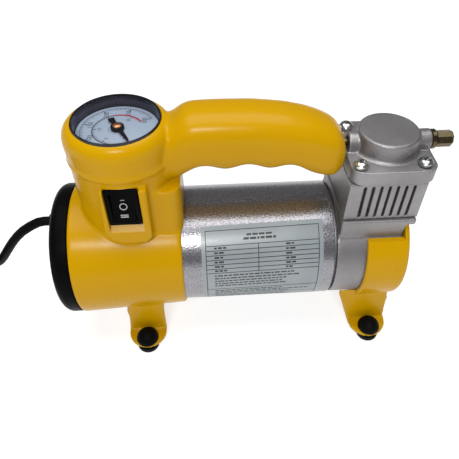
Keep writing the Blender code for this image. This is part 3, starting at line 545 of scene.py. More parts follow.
def power_lead():
    points = through(CORD_ROUTE, ROUTE_SPACING)[:-1]
    steps = round(COIL_END / COIL_SPACING)
    points += [coil_point(COIL_END * step / steps) for step in range(steps + 1)]
    points += through((points[-1],) + TAIL_ROUTE, ROUTE_SPACING)[1:]
    length = sum((b - a).length for a, b in zip(points, points[1:])) * MM
    curve = bpy.data.curves.new("power_lead", "CURVE")
    curve.dimensions = "3D"
    curve.bevel_depth = CORD_R * MM
    curve.bevel_resolution = 4
    curve.use_fill_caps = True
    line = curve.splines.new("POLY")
    line.points.add(len(points) - 1)
    for spot, point in zip(line.points, points):
        spot.co = (*(point * MM), 1.0)
    curve.materials.append(MATERIALS["black_rubber"])
    made = bpy.data.objects.new("power_lead", curve)
    bpy.context.collection.objects.link(made)
    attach(made, "machine")
    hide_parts("power_cord", "cord_tail", "cord_coil")
    return made, length


def strain_relief():
    """Ribbed rubber sleeve that grips the cord where it leaves the end cap."""
    profile = [(-97.5, 2.6), (-97.5, 3.4), (-97.1, 3.8), (-96.4, 3.9), (-96.2, 3.6), (-95.9, 3.6)]
    profile += [(-95.7, 4.3), (-95.3, 4.8), (-94.9, 4.8), (-94.7, 3.5), (-90.4, 3.5), (-90.4, 2.6)]
    centre = (0.0, CORD_EXIT[1], CORD_EXIT[2])
    made = as_object("strain_relief", turned(profile, "X", centre, 32, ring=True))
    return place(made, "black_rubber", replaced=["cord_gland"])


def plug_pieces():
    """Accessory plug on its side: grip with finger rings, screw ring and sprung tip."""
    profile = [(-107.0, 0.0), (-107.0, 2.55), (-107.0, 3.4), (-106.2, 3.7)]
    for rib in range(5):
        start = -105.6 + 2.6 * rib
        size = 3.8 + 0.32 * rib
        profile += [(start, size), (start + 1.5, size + 0.2)]
        profile += [(start + 1.8, size - 0.45), (start + 2.3, size - 0.4)]
    profile += [(-91.6, 6.4), (-89.0, 9.0), (-86.0, 10.4), (-83.0, 10.9), (-72.0, 10.9)]
    profile += [(-69.0, 10.5), (-66.5, 9.7), (-66.0, 9.6), (-48.4, 9.6), (-48.0, 9.2)]
    profile += [(-48.0, 5.2), (-56.0, 5.2), (-56.0, 0.0)]
    body = as_object("plug_grip", turned(profile, "X", PLUG_AT, 48))
    wells = []
    for side in (-1.0, 1.0):
        x = (PLUG_AT[0] - 65.0, PLUG_AT[0] - 53.0)
        y = sorted((PLUG_AT[1] + side * 6.0, PLUG_AT[1] + side * 12.0))
        z = (PLUG_AT[2] - 2.0, PLUG_AT[2] + 2.0)
        wells.append(box(x, y, z))
    cut(body, *wells)
    ring = [(-47.7, 3.4), (-47.7, 8.8), (-47.3, 9.0), (-44.0, 8.5), (-41.2, 7.1), (-41.0, 6.8)]
    ring.append((-41.0, 3.4))
    collar = as_object("plug_collar", turned(ring, "X", PLUG_AT, 40, ring=True))
    tip = [(-50.5, 0.0), (-50.5, 4.6), (-48.2, 4.6), (-48.2, 3.1), (-39.4, 3.1), (-38.0, 2.7)]
    tip += [(-37.0, 1.8), (-36.6, 0.8), (-36.6, 0.0)]
    nose = as_object("plug_nose", turned(tip, "X", PLUG_AT, 32))
    return [
        place(body, "black_plastic", replaced=["plug_body"]),
        place(collar, "zinc_plate", replaced=["plug_ring"]),
        place(nose, "steel", body="tip", replaced=["plug_tip"]),
    ]


lead, lead_length = power_lead()
relief = strain_relief()
contacts = [frame["nodes"]["plug_contact_front"], frame["nodes"]["plug_contact_rear"]]
[relief] + plug_pieces() + contacts


# ---------------------------------------------------------------- motor and end cap

def motor_skin():
    centre = (0.0, 0.0, AXIS_Z)
    profile = [(-79.5, 28.0), (-79.5, 30.0), (45.2, 30.0), (45.5, 29.7), (45.5, 28.0)]
    made = as_object("motor_skin", turned(profile, "X", centre, 128, ring=True))
    place(made, "silver_paint", replaced=["motor_can"])


def wrapped(x, share, radius):
    """Point on the can at that station and share of the way down the label."""
    tilt = LABEL_TILT * (x - LABEL_X[0]) / (LABEL_X[1] - LABEL_X[0])
    angle = math.radians(LABEL_ANGLE[0] + (LABEL_ANGLE[1] - LABEL_ANGLE[0]) * share + tilt)
    return (x, -radius * math.cos(angle), AXIS_Z + radius * math.sin(angle))


def patch(bm, x, share, radius, steps):
    """Curved rectangle on the can between two stations and two shares of the label's height."""
    rows = []
    for step in range(steps + 1):
        at = share[0] + (share[1] - share[0]) * step / steps
        rows.append([bm.verts.new(wrapped(along, at, radius)) for along in x])
    for upper, lower in zip(rows, rows[1:]):
        bm.faces.new((upper[0], lower[0], lower[1], upper[1]))


def label():
    """Rating plate: foil with a border, a ruled table, and plain bars in place of words."""
    foil = bmesh.new()
    patch(foil, LABEL_X, (0.0, 1.0), FOIL_R, 48)
    place(as_object("label_foil", foil), "silver_paint", material=MATERIALS["label_foil"])
    ink = bmesh.new()
    left = LABEL_X[0] + 2.0
    right = LABEL_X[1] - 2.0
    top = 0.045
    bottom = 0.955
    thin = 0.35
    rule = 0.007
    for x in (left, right - thin):
        patch(ink, (x, x + thin), (top, bottom), PRINT_R, 40)
    table = (0.19, 0.47)
    rows = 6
    lines = [top, bottom - rule, 0.70, 0.84]
    lines += [table[0] + (table[1] - table[0]) * row / rows for row in range(rows + 1)]
    for share in lines:
        patch(ink, (left, right), (share, share + rule), PRINT_R, 1)
    divider = left + 0.46 * (right - left)
    patch(ink, (divider, divider + thin), table, PRINT_R, 24)
    dice = random.Random(5)

    def words(x, share, height, limit):
        """A run of short bars, like words at a distance."""
        while x < limit - 1.0:
            width = min(dice.uniform(1.0, 3.2), limit - x)
            patch(ink, (x, x + width), (share, share + height), PRINT_R, 1)
            x += width + 0.5

    words(left + 20.0, 0.095, 0.018, right - 23.0)
    words(left + 18.5, 0.130, 0.022, right - 21.0)
    for row in range(rows):
        share = table[0] + (table[1] - table[0]) * (row + 0.36) / rows
        words(left + 4.2, share, 0.017, left + dice.uniform(8.0, 11.5))
        words(divider + 13.5, share, 0.017, divider + dice.uniform(16.5, 18.5))
    for share in (0.50, 0.535, 0.57, 0.605, 0.64, 0.73, 0.765, 0.80, 0.87, 0.90):
        words(left + 4.0, share, 0.014, right - dice.uniform(3.0, 18.0))
    place(as_object("label_print", ink), "silver_paint", material=MATERIALS["ink_black"])


def cap_skin():
    centre = (0.0, 0.0, AXIS_Z)
    outer = [(-82.4, 33.6), (-82.7, 33.9), (-87.0, 34.0)]
    for step in range(1, 11):
        angle = math.radians(9.0 * step)
        outer.append((-86.6 - 4.9 * math.sin(angle), 29.0 + 5.0 * math.cos(angle)))
    outer += [(-92.3, 26.0), (-93.3, 18.0), (-94.2, 10.0), (-94.5, 4.0), (-94.5, 0.0)]
    inner = [(-92.0, 0.0), (-91.0, 18.0), (-89.2, 28.5), (-87.0, 31.4), (-82.4, 31.4)]
    made = as_object("cap_skin", turned(inner + outer, "X", centre, 96))
    cut(made, rod(-100.0, -85.0, 3.7, "X", (0.0, CORD_EXIT[1], CORD_EXIT[2])))
    place(made, "black_plastic", replaced=["end_cap"])


# ---------------------------------------------------------------- yellow housing

def straight(x):
    """Top, bottom and half width on the straight line between two stations."""
    for low, high in zip(HANDLE, HANDLE[1:]):
        if x <= high[0]:
            share = (x - low[0]) / (high[0] - low[0])
            return [a + (b - a) * share for a, b in zip(low[1:], high[1:])]
    return list(HANDLE[-1][1:])


def handle_size(x):
    """Top, bottom and half width of the handle, with the stations' corners rounded."""
    reach = min(CORNER_REACH, max(0.0, HANDLE[-1][0] - x))
    offsets = (-1.0, -0.5, 0.0, 0.5, 1.0)
    around = [straight(max(HANDLE[0][0], x + reach * offset)) for offset in offsets]
    return [sum(values) / len(around) for values in zip(*around)]


def handle_ring(x, shrink, count):
    """Cross-section of the handle: a rounded box, lifted below where a finger goes."""
    top, bottom, half = handle_size(x)
    middle = (top + bottom) / 2.0
    height = (top - bottom) / 2.0 - shrink
    width = half - shrink
    lift = 0.0
    for hollow in FINGER_X:
        gap = abs(x - hollow) / FINGER_HALF
        if gap < 1.0:
            lift = FINGER_DEPTH * 0.5 * (1.0 + math.cos(math.pi * gap))
    power = 2.0 / 2.5
    ring = []
    for step in range(count):
        angle = 2.0 * math.pi * step / count
        c = math.cos(angle)
        s = math.sin(angle)
        y = width * math.copysign(abs(c) ** power, c)
        z = middle + height * math.copysign(abs(s) ** power, s)
        if s < 0.0:
            z += lift * abs(s) ** 1.5
        ring.append((x, y, z))
    return ring


def handle_loft(start, end, spacing, shrink, count):
    steps = round((end - start) / spacing)
    stations = [start + (end - start) * step / steps for step in range(steps + 1)]
    return loft([handle_ring(x, shrink, count) for x in stations])


def leg_shapes(middle, side, flare, trim):
    """Upright panel and foot tab of one leg; side is -1 for front, 1 for rear."""
    inner = LEG_Y - LEG_PANEL
    outline = [(3.8, middle - LEG_HALF), (3.8, middle + LEG_HALF)]
    outline.append((LEG_TOP, middle + LEG_HALF - trim[1]))
    outline.append((LEG_TOP, middle - LEG_HALF - flare + trim[0]))
    if flare:
        outline.append((LEG_TOP - 6.0, middle - LEG_HALF - flare))
    span = sorted((side * inner, side * LEG_Y))
    tab = [(middle - LEG_HALF, side * (inner + 0.4)), (middle + LEG_HALF, side * (inner + 0.4))]
    tab += arc((middle, side * 25.8), LEG_HALF, 0.0, side * 180.0, 16)
    return [prism(outline, span[0], span[1], "Y"), prism(tab, 3.6, 6.2)]


def foot_holes(middle):
    return [rod(0.0, 8.0, 3.2, "Z", (middle, side * FOOT_Y, 0.0), 24) for side in (-1.0, 1.0)]


def shell_solids():
    """Collar, column, cup with its rim, switch boss, shoulder, handle and legs."""
    centre = (0.0, 0.0, AXIS_Z)
    upright = (COLUMN_X, 0.0, 0.0)
    collar = [(-82.2, 33.7), (-81.4, 34.3), (-29.4, 31.8), (-28.6, 31.2)]
    column = [(60.0, 23.4), (111.0, 23.6), (111.5, 24.4), (113.0, 24.4), (113.5, 23.8), (114.5, 23.8)]
    column += [(118.0, 24.1), (122.0, 24.2), (124.4, 23.7), (126.4, 22.6), (127.8, 21.0), (128.3, 19.6)]
    boss = [(76.4, -44.0), (79.5, -41.3), (108.0, -41.0), (108.0, -61.2), (84.0, -62.8)]
    boss += [(78.0, -60.0), (76.0, -54.0)]
    shoulder = rounded_outline((-56.0, -27.2), (-18.5, 18.5), 6.0)
    oval = turned(column, "Z", upright, 112)
    bmesh.ops.scale(oval, vec=(1.0, COLUMN_OVAL, 1.0), verts=oval.verts)
    shapes = [turned(collar, "X", centre, 128), oval]
    shapes.append(prism(boss, -24.5, -5.0, "Y"))
    shapes.append(prism(shoulder, 62.0, 101.5))
    shapes.append(handle_loft(HANDLE[0][0], HANDLE[-1][0], 1.1, 0.0, 64))
    for side in (-1.0, 1.0):
        shapes += leg_shapes(LEG_X[0], side, 0.0, (LEG_TRIM, 0.0))
    shapes.append(box((LEG_X[0] - 10.0, LEG_X[0] + 10.0), (-23.0, 23.0), (18.2, 22.0)))
    return shapes


def shell_hollows():
    """Motor bore, cup bore, hollow handle, pipe hole, switch recess and foot holes."""
    centre = (0.0, 0.0, AXIS_Z)
    upright = (COLUMN_X, 0.0, 0.0)
    shapes = [rod(-86.0, -24.0, 30.15, "X", centre, 128)]
    cup = [(60.0, 0.0), (60.0, 19.5), (132.0, 19.5), (132.0, 0.0)]
    shapes.append(turned(cup, "Z", upright, 96))
    shapes.append(handle_loft(-35.0, 44.0, 4.0, 2.8, 24))
    shapes.append(rod(42.0, 52.0, 2.2, "X", (0.0, 0.0, PORT_Z), 24))
    recess_x = (SWITCH_X - 7.6, SWITCH_X + 7.9)
    recess = [(87.7, recess_x[1]), (108.4, recess_x[1]), (108.4, recess_x[0]), (87.7, recess_x[0])]
    shapes.append(prism(recess, -30.0, SWITCH_Y + 0.3, "Y"))
    slope = [(-30.0, 78.6), (-30.0, 88.0), (-21.7, 88.0), (-21.7, 87.0)]
    shapes.append(prism(slope, recess_x[0], recess_x[1], "X"))
    opening_z = (SWITCH_Z - 9.5, SWITCH_Z + 9.5)
    shapes.append(box((SWITCH_X - 6.6, SWITCH_X + 6.6), (-30.0, -10.0), opening_z))
    shapes += foot_holes(LEG_X[0])
    return shapes


def housing_skins():
    """Two half shells, with a post, a screw hole and a pocket for each housing screw."""
    whole = moulded("shell", shell_solids(), 0.65, 9)
    cut(whole, *shell_hollows())
    add(whole, *[rod(-12.5, 12.5, 3.9, "Y", (x, 0.0, z), 32) for x, z in HOUSING_SCREWS])
    cut(whole, *[rod(-8.0, 30.0, 1.8, "Y", (x, 0.0, z), 24) for x, z in HOUSING_SCREWS])
    cut(whole, *[rod(9.6, 30.0, 3.6, "Y", (x, 0.0, z), 32) for x, z in HOUSING_SCREWS])
    for name, span, source in (
        ("shell_front", (-60.0, -SPLIT), "housing_front"),
        ("shell_rear", (SPLIT, 60.0), "housing_rear"),
    ):
        half = whole.copy()
        half.data = whole.data.copy()
        half.name = name
        bpy.context.collection.objects.link(half)
        combine(half, "INTERSECT", [box((-120.0, 80.0), span, (-10.0, 150.0))])
        place(half, "yellow_plastic", replaced=[source])
    bpy.data.objects.remove(whole, do_unlink=True)


def cover_screw_rods(start, end, radius, segments):
    """Rods along X where the two cover screws go."""
    places = [(0.0, side * COVER_SCREW_Y, COVER_SCREW_Z) for side in (-1.0, 1.0)]
    return [rod(start, end, radius, "X", centre, segments) for centre in places]


def cover_skin():
    """Round cover over the crank end, with its two legs and a cross web."""
    centre = (0.0, 0.0, AXIS_Z)
    disc = [(61.2, 31.7), (61.7, 32.2), (80.0, 32.2), (81.6, 31.5), (82.3, 29.8), (82.3, 0.0)]
    shapes = [turned(disc, "X", centre, 128)]
    for side in (-1.0, 1.0):
        shapes += leg_shapes(LEG_X[1], side, 8.0, (0.0, LEG_TRIM))
    shapes.append(box((61.5, 82.0), (-23.0, 23.0), (18.6, 22.0)))
    made = moulded("cover_skin", shapes, 0.6, 5)
    inside = rod(40.0, 79.3, 30.2, "X", centre, 128)
    cut(made, inside, box((40.0, 79.3), (-40.0, 40.0), (70.3, 120.0)))
    cut(made, box((70.0, 90.0), (-40.0, 40.0), (77.0, 120.0)), *foot_holes(LEG_X[1]))
    cut(made, *cover_screw_rods(76.0, 90.0, 1.9, 24))
    place(made, "yellow_plastic", replaced=["crankcase_cover"])


# ---------------------------------------------------------------- pump castings

def crankcase_skin():
    """Round case with the pad that the block stands on, bored for the crank and the cylinder."""
    centre = (0.0, 0.0, AXIS_Z)
    shapes = [turned([(46.7, 29.8), (78.9, 29.8)], "X", centre, 96)]
    shapes.append(box((47.5, 78.9), (-PAD_Y, PAD_Y), (AXIS_Z, PAD_TOP)))
    shapes.append(box((70.0, 83.4), (-PAD_Y, PAD_Y), (77.4, PAD_TOP)))
    made = moulded("crankcase_skin", shapes, 0.6, 4)
    add(made, rod(40.5, 48.0, 27.4, "X", centre, 64))
    cut(made, rod(51.0, 90.0, 24.0, "X", centre, 64), rod(39.0, 52.0, 9.0, "X", centre, 32))
    cut(made, rod(AXIS_Z, 85.0, 13.2, "Z", (CYLINDER_X, 0.0, 0.0), 48))
    groove = [(38.0, 12.0), (38.0, 25.0), (45.5, 25.0), (45.5, 12.0)]
    cut(made, turned(groove, "X", centre, 48, ring=True))
    cut(made, *cover_screw_rods(70.0, 90.0, 1.8, 20))
    place(made, "cast_aluminium", replaced=["crankcase"])


def block_skin():
    """Cylinder block: plain stretch at the handle side, then upright slots between fins."""
    made = as_object("block_skin", box(BLOCK_X, (-BLOCK_Y, BLOCK_Y), BLOCK_Z))
    slots = []
    for side in (-1.0, 1.0):
        near, far = sorted((side * 15.8, side * 22.0))
        for index in range(SLOT_COUNT):
            x = SLOT_START + SLOT_PITCH * index
            outline = rounded_outline((x - SLOT_HALF, x + SLOT_HALF), SLOT_Z, 0.6, 4)
            slots.append(prism([(z, along) for along, z in outline], near, far, "Y"))
    cut(made, *slots)
    melted(made, 0.38, 3)
    axis = (CYLINDER_X, 0.0, 0.0)
    add(made, rod(66.0, 90.0, 12.9, "Z", axis, 48))
    cut(made, rod(60.0, 110.0, BORE_R, "Z", axis, 48))
    cut(made, *[rod(92.0, 110.0, 1.5, "Z", (x, y, 0.0), 20) for x, y in head_screw_places()])
    place(made, "cast_aluminium", replaced=["cylinder_block"])


def head_screw_places():
    return [(x, side * HEAD_SCREW_Y) for x in HEAD_SCREW_X for side in (-1.0, 1.0)]


def head_skin():
    """Flange, round cap, and the boss of the two air ports."""
    port = (0.0, 0.0, PORT_Z)
    cap = [(104.8, 0.0), (104.8, 15.6), (FLANGE_TOP, 15.6), (109.9, 14.7), (110.8, 14.3)]
    cap += [(117.2, 13.9), (117.9, 13.2), (117.9, 0.0)]
    flange = rounded_outline(HEAD_EDGE, (-FLANGE_Y, FLANGE_Y), 6.2, 8)
    shapes = [prism(flange, 102.2, FLANGE_TOP)]
    shapes.append(turned(cap, "Z", (HEAD_X, 0.0, 0.0), 96))
    shapes.append(rod(49.3, HEAD_EDGE[1], PORT_R, "X", port))
    shapes.append(box((50.0, 86.0), (-PORT_R, PORT_R), (105.0, PORT_Z)))
    made = moulded("head_skin", shapes, 0.36, 3)
    cut(made, prism(rounded_outline(PLATE_X, (-PLATE_Y, PLATE_Y), 4.0, 8), 100.0, 104.4))
    chamber = rod(100.0, 113.6, 9.0, "Z", (HEAD_X, 0.0, 0.0), 48)
    cut(made, chamber, rod(45.0, 90.0, 2.9, "X", port, 32))
    for x, y in head_screw_places():
        centre = (x, y, 0.0)
        cut(made, rod(100.0, 120.0, 1.9, "Z", centre, 24), rod(108.9, 120.0, 3.9, "Z", centre, 40))
    place(made, "cast_aluminium", replaced=["cylinder_head"])


def screw(node_name, low, seat, top, shank, axis, centre):
    """Pan-head screw with a cross recess."""
    head = SCREW_HEAD_R
    profile = [(low, 0.0), (low, shank), (seat, shank), (seat, head - 0.1), (seat + 0.3, head)]
    for share, size in ((0.55, 0.97), (0.8, 0.82), (0.95, 0.55), (1.0, 0.3)):
        profile.append((seat + (top - seat) * share, head * size))
    profile.append((top, 0.0))
    made = as_object(f"{node_name}_skin", turned(profile, axis, centre, 40))
    arms = []
    for wide, thick in ((1.75, 0.42), (0.42, 1.75)):
        arm = box((-wide, wide), (-thick, thick), (top - 1.5, top + 1.0))
        turn = Matrix.Rotation(math.radians(38.0), 4, "Z")
        stand = Matrix.Translation(Vector(centre)) @ AXES[axis] @ turn
        bmesh.ops.transform(arm, matrix=stand, verts=arm.verts)
        arms.append(arm)
    cut(made, *arms)
    place(made, "zinc_plate", replaced=[node_name], angle=30.0)


def screws():
    for index, (x, y) in enumerate(head_screw_places()):
        screw(f"head_screw_{index + 1}", 93.0, 109.4, 112.0, 1.2, "Z", (x, y, 0.0))
    for index, side in enumerate((-1.0, 1.0)):
        centre = (0.0, side * COVER_SCREW_Y, COVER_SCREW_Z)
        screw(f"cover_screw_{index + 1}", 72.0, 82.5, 84.7, 1.5, "X", centre)
    for index, (x, z) in enumerate(HOUSING_SCREWS):
        screw(f"housing_screw_{index + 1}", -7.5, 9.8, 12.0, 1.4, "Y", (x, 0.0, z))


def nipple():
    """Brass outlet: collar, then a barrel with eight flats."""
    port = (0.0, 0.0, PORT_Z)
    sleeve = [(78.5, 1.6), (78.5, 2.5), (87.3, 2.5), (87.3, 4.3), (87.6, 4.6), (89.2, 4.6)]
    sleeve += [(89.5, 4.3), (89.5, 3.2), (90.2, 3.2), (90.2, 1.6)]
    barrel = [(90.1, 1.6), (90.1, 3.9), (96.8, 3.9), (97.5, 3.3), (97.5, 1.6)]
    made = as_object("outlet_collar", turned(sleeve, "X", port, 48, ring=True))
    add(made, turned(barrel, "X", port, 8, ring=True))
    place(made, "brass", replaced=["outlet_nipple"], angle=25.0)


def feet():
    """Rubber feet: a pad below, a neck in the tab's hole, and a dome on top."""
    profile = [(0.0, 0.0), (0.0, 5.2), (0.3, 5.7), (0.8, 5.9), (3.2, 5.9), (3.5, 5.6), (3.5, 2.9)]
    profile += [(6.3, 2.9), (6.3, 5.8)]
    for step in range(9):
        angle = math.radians(6.0 + 84.0 * step / 9)
        profile.append((6.3 + 6.0 * math.sin(angle), 6.0 * math.cos(angle)))
    profile.append((12.3, 0.0))
    places = [(middle, side * FOOT_Y, 0.0) for middle in LEG_X for side in (-1.0, 1.0)]
    for index, centre in enumerate(places):
        made = as_object(f"foot_skin_{index + 1}", turned(profile, "Z", centre, 40))
        place(made, "black_rubber", replaced=[f"rubber_foot_{index + 1}"])


# ---------------------------------------------------------------- gauge and switch

def on_dial(radius, angle):
    """Point of the print at that radius and angle."""
    x = COLUMN_X + radius * math.cos(angle)
    return Vector((x, radius * math.sin(angle), DIAL_Z + PRINT_LIFT))


def flat_ring(bm, inner, outer, start, end, steps):
    """Printed arc on the dial, angles in degrees."""
    rows = []
    for step in range(steps + 1):
        angle = math.radians(start + (end - start) * step / steps)
        rows.append([bm.verts.new(on_dial(radius, angle)) for radius in (inner, outer)])
    for first, second in zip(rows, rows[1:]):
        bm.faces.new((first[0], first[1], second[1], second[0]))


def tick(bm, share, inner, outer, width):
    """Radial mark at a share of the scale, which runs clockwise."""
    angle = math.radians(SCALE_START - SCALE_SWEEP * share)
    side = Vector((-math.sin(angle), math.cos(angle), 0.0)) * width / 2.0
    start = on_dial(inner, angle)
    end = on_dial(outer, angle)
    corners = (start - side, end - side, end + side, start + side)
    bm.faces.new([bm.verts.new(corner) for corner in corners])


def digits(bm, share, radius, value, size):
    """Number on the dial, upright when the dial's top is towards -X."""
    curve = bpy.data.curves.new("digits", "FONT")
    curve.body = value
    curve.size = size
    curve.align_x = "CENTER"
    curve.align_y = "CENTER"
    text = bpy.data.objects.new("digits", curve)
    bpy.context.collection.objects.link(text)
    bpy.context.view_layer.update()
    graph = bpy.context.evaluated_depsgraph_get()
    mesh = bpy.data.meshes.new_from_object(text.evaluated_get(graph))
    centre = on_dial(radius, math.radians(SCALE_START - SCALE_SWEEP * share))
    mesh.transform(Matrix.Translation(centre) @ Matrix.Rotation(math.radians(90.0), 4, "Z"))
    bm.from_mesh(mesh)
    bpy.data.meshes.remove(mesh)
    bpy.data.objects.remove(text, do_unlink=True)


def gauge_body():
    """Cup with a dark inner wall, and the dial's plate."""
    centre = (COLUMN_X, 0.0, 0.0)
    case = [(113.5, 2.6), (113.5, 18.4), (114.5, 19.2), (126.3, 19.2), (126.3, 18.6), (122.2, 18.3)]
    case += [(121.4, 17.6), (115.0, 18.0), (115.0, 2.6)]
    made = as_object("gauge_cup", turned(case, "Z", centre, 96, ring=True))
    place(made, "black_plastic", replaced=["gauge_case"], material=MATERIALS["gauge_wall"])
    low = DIAL_Z - 0.6
    face = [(low, 1.1), (low, DIAL_R), (DIAL_Z, DIAL_R), (DIAL_Z, 1.1)]
    made = as_object("dial_face", turned(face, "Z", centre, 96, ring=True))
    place(made, "dial_white", replaced=["gauge_dial"])


def dial_print():
    """Two scales, a red arc at the end of the scale, and a small arc beside the pivot."""
    black = bmesh.new()
    red = bmesh.new()
    for mark in range(OUTER_MARKS + 1):
        major = mark % 10 == 0
        middle = mark % 5 == 0
        inner = 13.8 if major else 14.6 if middle else 15.1
        tick(black, mark / OUTER_MARKS, inner, 16.2, 0.5 if major else 0.26)
    for mark in range(INNER_MARKS + 1):
        major = mark % 10 == 0
        tick(black, mark / INNER_MARKS, 9.2 if major else 9.9, 10.8, 0.42 if major else 0.24)
    flat_ring(black, 16.2, 16.4, SCALE_START, SCALE_START - SCALE_SWEEP, 72)
    flat_ring(black, 10.8, 11.25, SCALE_START, RED_START, 60)
    for index in range(7):
        digits(black, index / 6.0, 12.7, str(50 * index), 3.0)
    for index in range(5):
        digits(black, index * 10.0 / INNER_MARKS, 7.8, str(5 * index), 2.2)
    flat_ring(red, 10.5, 11.4, RED_START, SCALE_START - SCALE_SWEEP, 24)
    flat_ring(black, 3.9, 4.05, 150.0, 210.0, 12)
    place(as_object("dial_print", black), "dial_white", material=MATERIALS["ink_black"])
    place(as_object("dial_red", red), "dial_white", material=MATERIALS["ink_red"])


def gauge_top():
    """Bezel and lens."""
    centre = (COLUMN_X, 0.0, 0.0)
    bezel = [(126.4, 18.6), (126.4, 19.2), (126.8, 19.4), (128.4, 19.4), (128.8, 19.25)]
    bezel += [(128.9, 18.95), (128.8, 18.6), (128.5, 18.5), (128.2, 18.5)]
    made = as_object("bezel_ring", turned(bezel, "Z", centre, 112, ring=True))
    place(made, "steel", replaced=["gauge_bezel"], material=MATERIALS["bezel_dark"])
    lens = [(126.8, 0.0), (126.8, 18.4), (127.7, 18.4), (128.1, 15.5), (128.3, 9.0), (128.4, 0.0)]
    made = as_object("lens_skin", turned(lens, "Z", centre, 96))
    place(made, "clear_glass", replaced=["gauge_lens"])


def needle():
    """Pointer with a wide tail, on its spindle, under a copper hub."""
    centre = (COLUMN_X, 0.0, 0.0)
    pivot = Vector((COLUMN_X, 0.0, 124.1))
    angle = math.radians(SCALE_START)
    along = Vector((math.cos(angle), math.sin(angle), 0.0))
    side = Vector((-along.y, along.x, 0.0))
    widths = [(-7.7, 1.35), (-7.2, 1.5), (-3.6, 1.0), (0.0, 1.3), (4.0, 0.95)]
    widths += [(10.0, 0.55), (11.4, 0.3)]
    left = [pivot + along * d + side * w for d, w in widths]
    right = [pivot + along * d - side * w for d, w in reversed(widths)]
    rings = [[point + Vector((0.0, 0.0, level)) for point in left + right] for level in (-0.22, 0.22)]
    made = as_object("needle", loft(rings))
    spindle = [(120.0, 0.0), (120.0, 0.7), (123.4, 0.7), (123.4, 2.9), (124.7, 2.9), (124.7, 0.0)]
    add(made, turned(spindle, "Z", centre, 40))
    place(made, "black_plastic", body="pointer", replaced=["gauge_pointer"])
    hub = [(124.75, 0.0), (124.75, 2.1), (125.3, 2.0), (125.65, 1.4), (125.7, 0.0)]
    made = as_object("needle_hub", turned(hub, "Z", centre, 40))
    place(made, "copper", body="pointer")


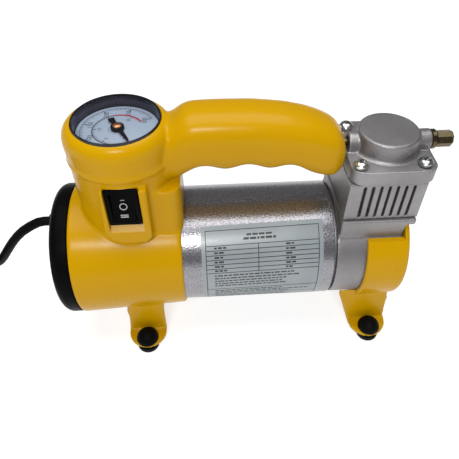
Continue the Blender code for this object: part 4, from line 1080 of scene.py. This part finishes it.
def switch_skins():
    """Frame with a well, rocker in its off position, and its printed marks."""
    frame_x = (SWITCH_X - SWITCH_HALF_W, SWITCH_X + SWITCH_HALF_W)
    frame_z = (SWITCH_Z - SWITCH_HALF_H, SWITCH_Z + SWITCH_HALF_H)
    made = as_object("switch_frame", box(frame_x, (SWITCH_Y - 1.4, SWITCH_Y + 0.1), frame_z, 0.45))
    neck_z = (frame_z[0] + 1.0, frame_z[1] - 1.0)
    add(made, box((frame_x[0] + 1.0, frame_x[1] - 1.0), (SWITCH_Y - 0.2, -10.5), neck_z))
    well_z = (frame_z[0] + 2.0, frame_z[1] - 2.0)
    cut(made, box((frame_x[0] + 2.0, frame_x[1] - 2.0), (SWITCH_Y - 4.0, -14.5), well_z))
    place(made, "black_plastic", replaced=["switch_body"], angle=30.0)
    pivot_y = SWITCH_Y + 2.0
    outline = [(-4.0, -7.3), (-3.2, -4.0), (-2.3, -1.0), (-1.9, 1.5), (-1.6, 7.3)]
    outline += [(0.8, 7.0), (3.0, 0.0), (0.4, -7.0)]
    points = [(pivot_y + y, SWITCH_Z + z) for y, z in outline]
    made = as_object("rocker_cap", prism(points, frame_x[0] + 2.3, frame_x[1] - 2.3, "X"))
    place(made, "black_plastic", body="rocker", replaced=["switch_rocker"], angle=25.0)
    marks = bmesh.new()

    def on_face(x, z):
        """Point just off the rocker's face at that height."""
        for (low_y, low_z), (high_y, high_z) in zip(outline[:4], outline[1:5]):
            if low_z <= z <= high_z:
                share = (z - low_z) / (high_z - low_z)
                return (SWITCH_X + x, pivot_y + low_y + (high_y - low_y) * share - 0.04, SWITCH_Z + z)
        return (SWITCH_X + x, pivot_y - 1.64, SWITCH_Z + z)

    def bar(x, z):
        corners = ((x[0], z[0]), (x[1], z[0]), (x[1], z[1]), (x[0], z[1]))
        marks.faces.new([marks.verts.new(on_face(*corner)) for corner in corners])

    bar((-0.9, 0.9), (3.3, 3.6))
    bar((-1.7, 1.7), (-5.3, -4.75))
    bar((-1.7, 1.7), (-4.3, -3.85))
    steps = 28
    for step in range(steps):
        corners = []
        for angle, size in ((step, 1.75), (step + 1, 1.75), (step + 1, 1.35), (step, 1.35)):
            turn = 2.0 * math.pi * angle / steps
            corners.append(marks.verts.new(on_face(size * math.cos(turn), size * math.sin(turn))))
        marks.faces.new(corners)
    made = as_object("rocker_marks", marks)
    place(made, "black_plastic", body="rocker", material=MATERIALS["ink_white"])


motor_skin()
label()
cap_skin()
housing_skins()
cover_skin()
crankcase_skin()
block_skin()
head_skin()
screws()
nipple()
feet()
gauge_body()
dial_print()
gauge_top()
needle()
switch_skins()


# ---------------------------------------------------------------- stage and light

def stage():
    bm = bmesh.new()
    bmesh.ops.create_grid(bm, x_segments=1, y_segments=1, size=6.0)
    floor = as_object("floor", bm)
    made, tree, shader = nodes_of("pale_floor")
    shader.inputs["Base Color"].default_value = (0.4, 0.4, 0.4, 1.0)
    shader.inputs["Roughness"].default_value = 0.9
    shader.inputs["Emission Color"].default_value = (1.0, 1.0, 1.0, 1.0)
    shader.inputs["Emission Strength"].default_value = 0.72
    floor.data.materials.append(made)
    world = bpy.data.worlds.new("studio")
    world.use_nodes = True
    world.node_tree.nodes["Background"].inputs["Color"].default_value = (0.95, 0.97, 1.0, 1.0)
    world.node_tree.nodes["Background"].inputs["Strength"].default_value = 0.16
    bpy.context.scene.world = world


def lamp(name, at, aim, size, power):
    data = bpy.data.lights.new(name, "AREA")
    data.shape = "RECTANGLE"
    data.size = size[0]
    data.size_y = size[1]
    data.energy = power
    made = bpy.data.objects.new(name, data)
    made.location = at
    made.rotation_euler = (Vector(aim) - Vector(at)).to_track_quat("-Z", "Y").to_euler()
    bpy.context.collection.objects.link(made)


stage()
lamp("overhead", (0.0, 0.1, 1.2), (0.0, 0.0, 0.0), (1.2, 0.9), 13.0)
lamp("front", (-0.12, -0.62, 0.75), (0.0, 0.0, 0.06), (0.26, 0.10), 4.8)
bpy.context.scene.view_settings.view_transform = "Standard"
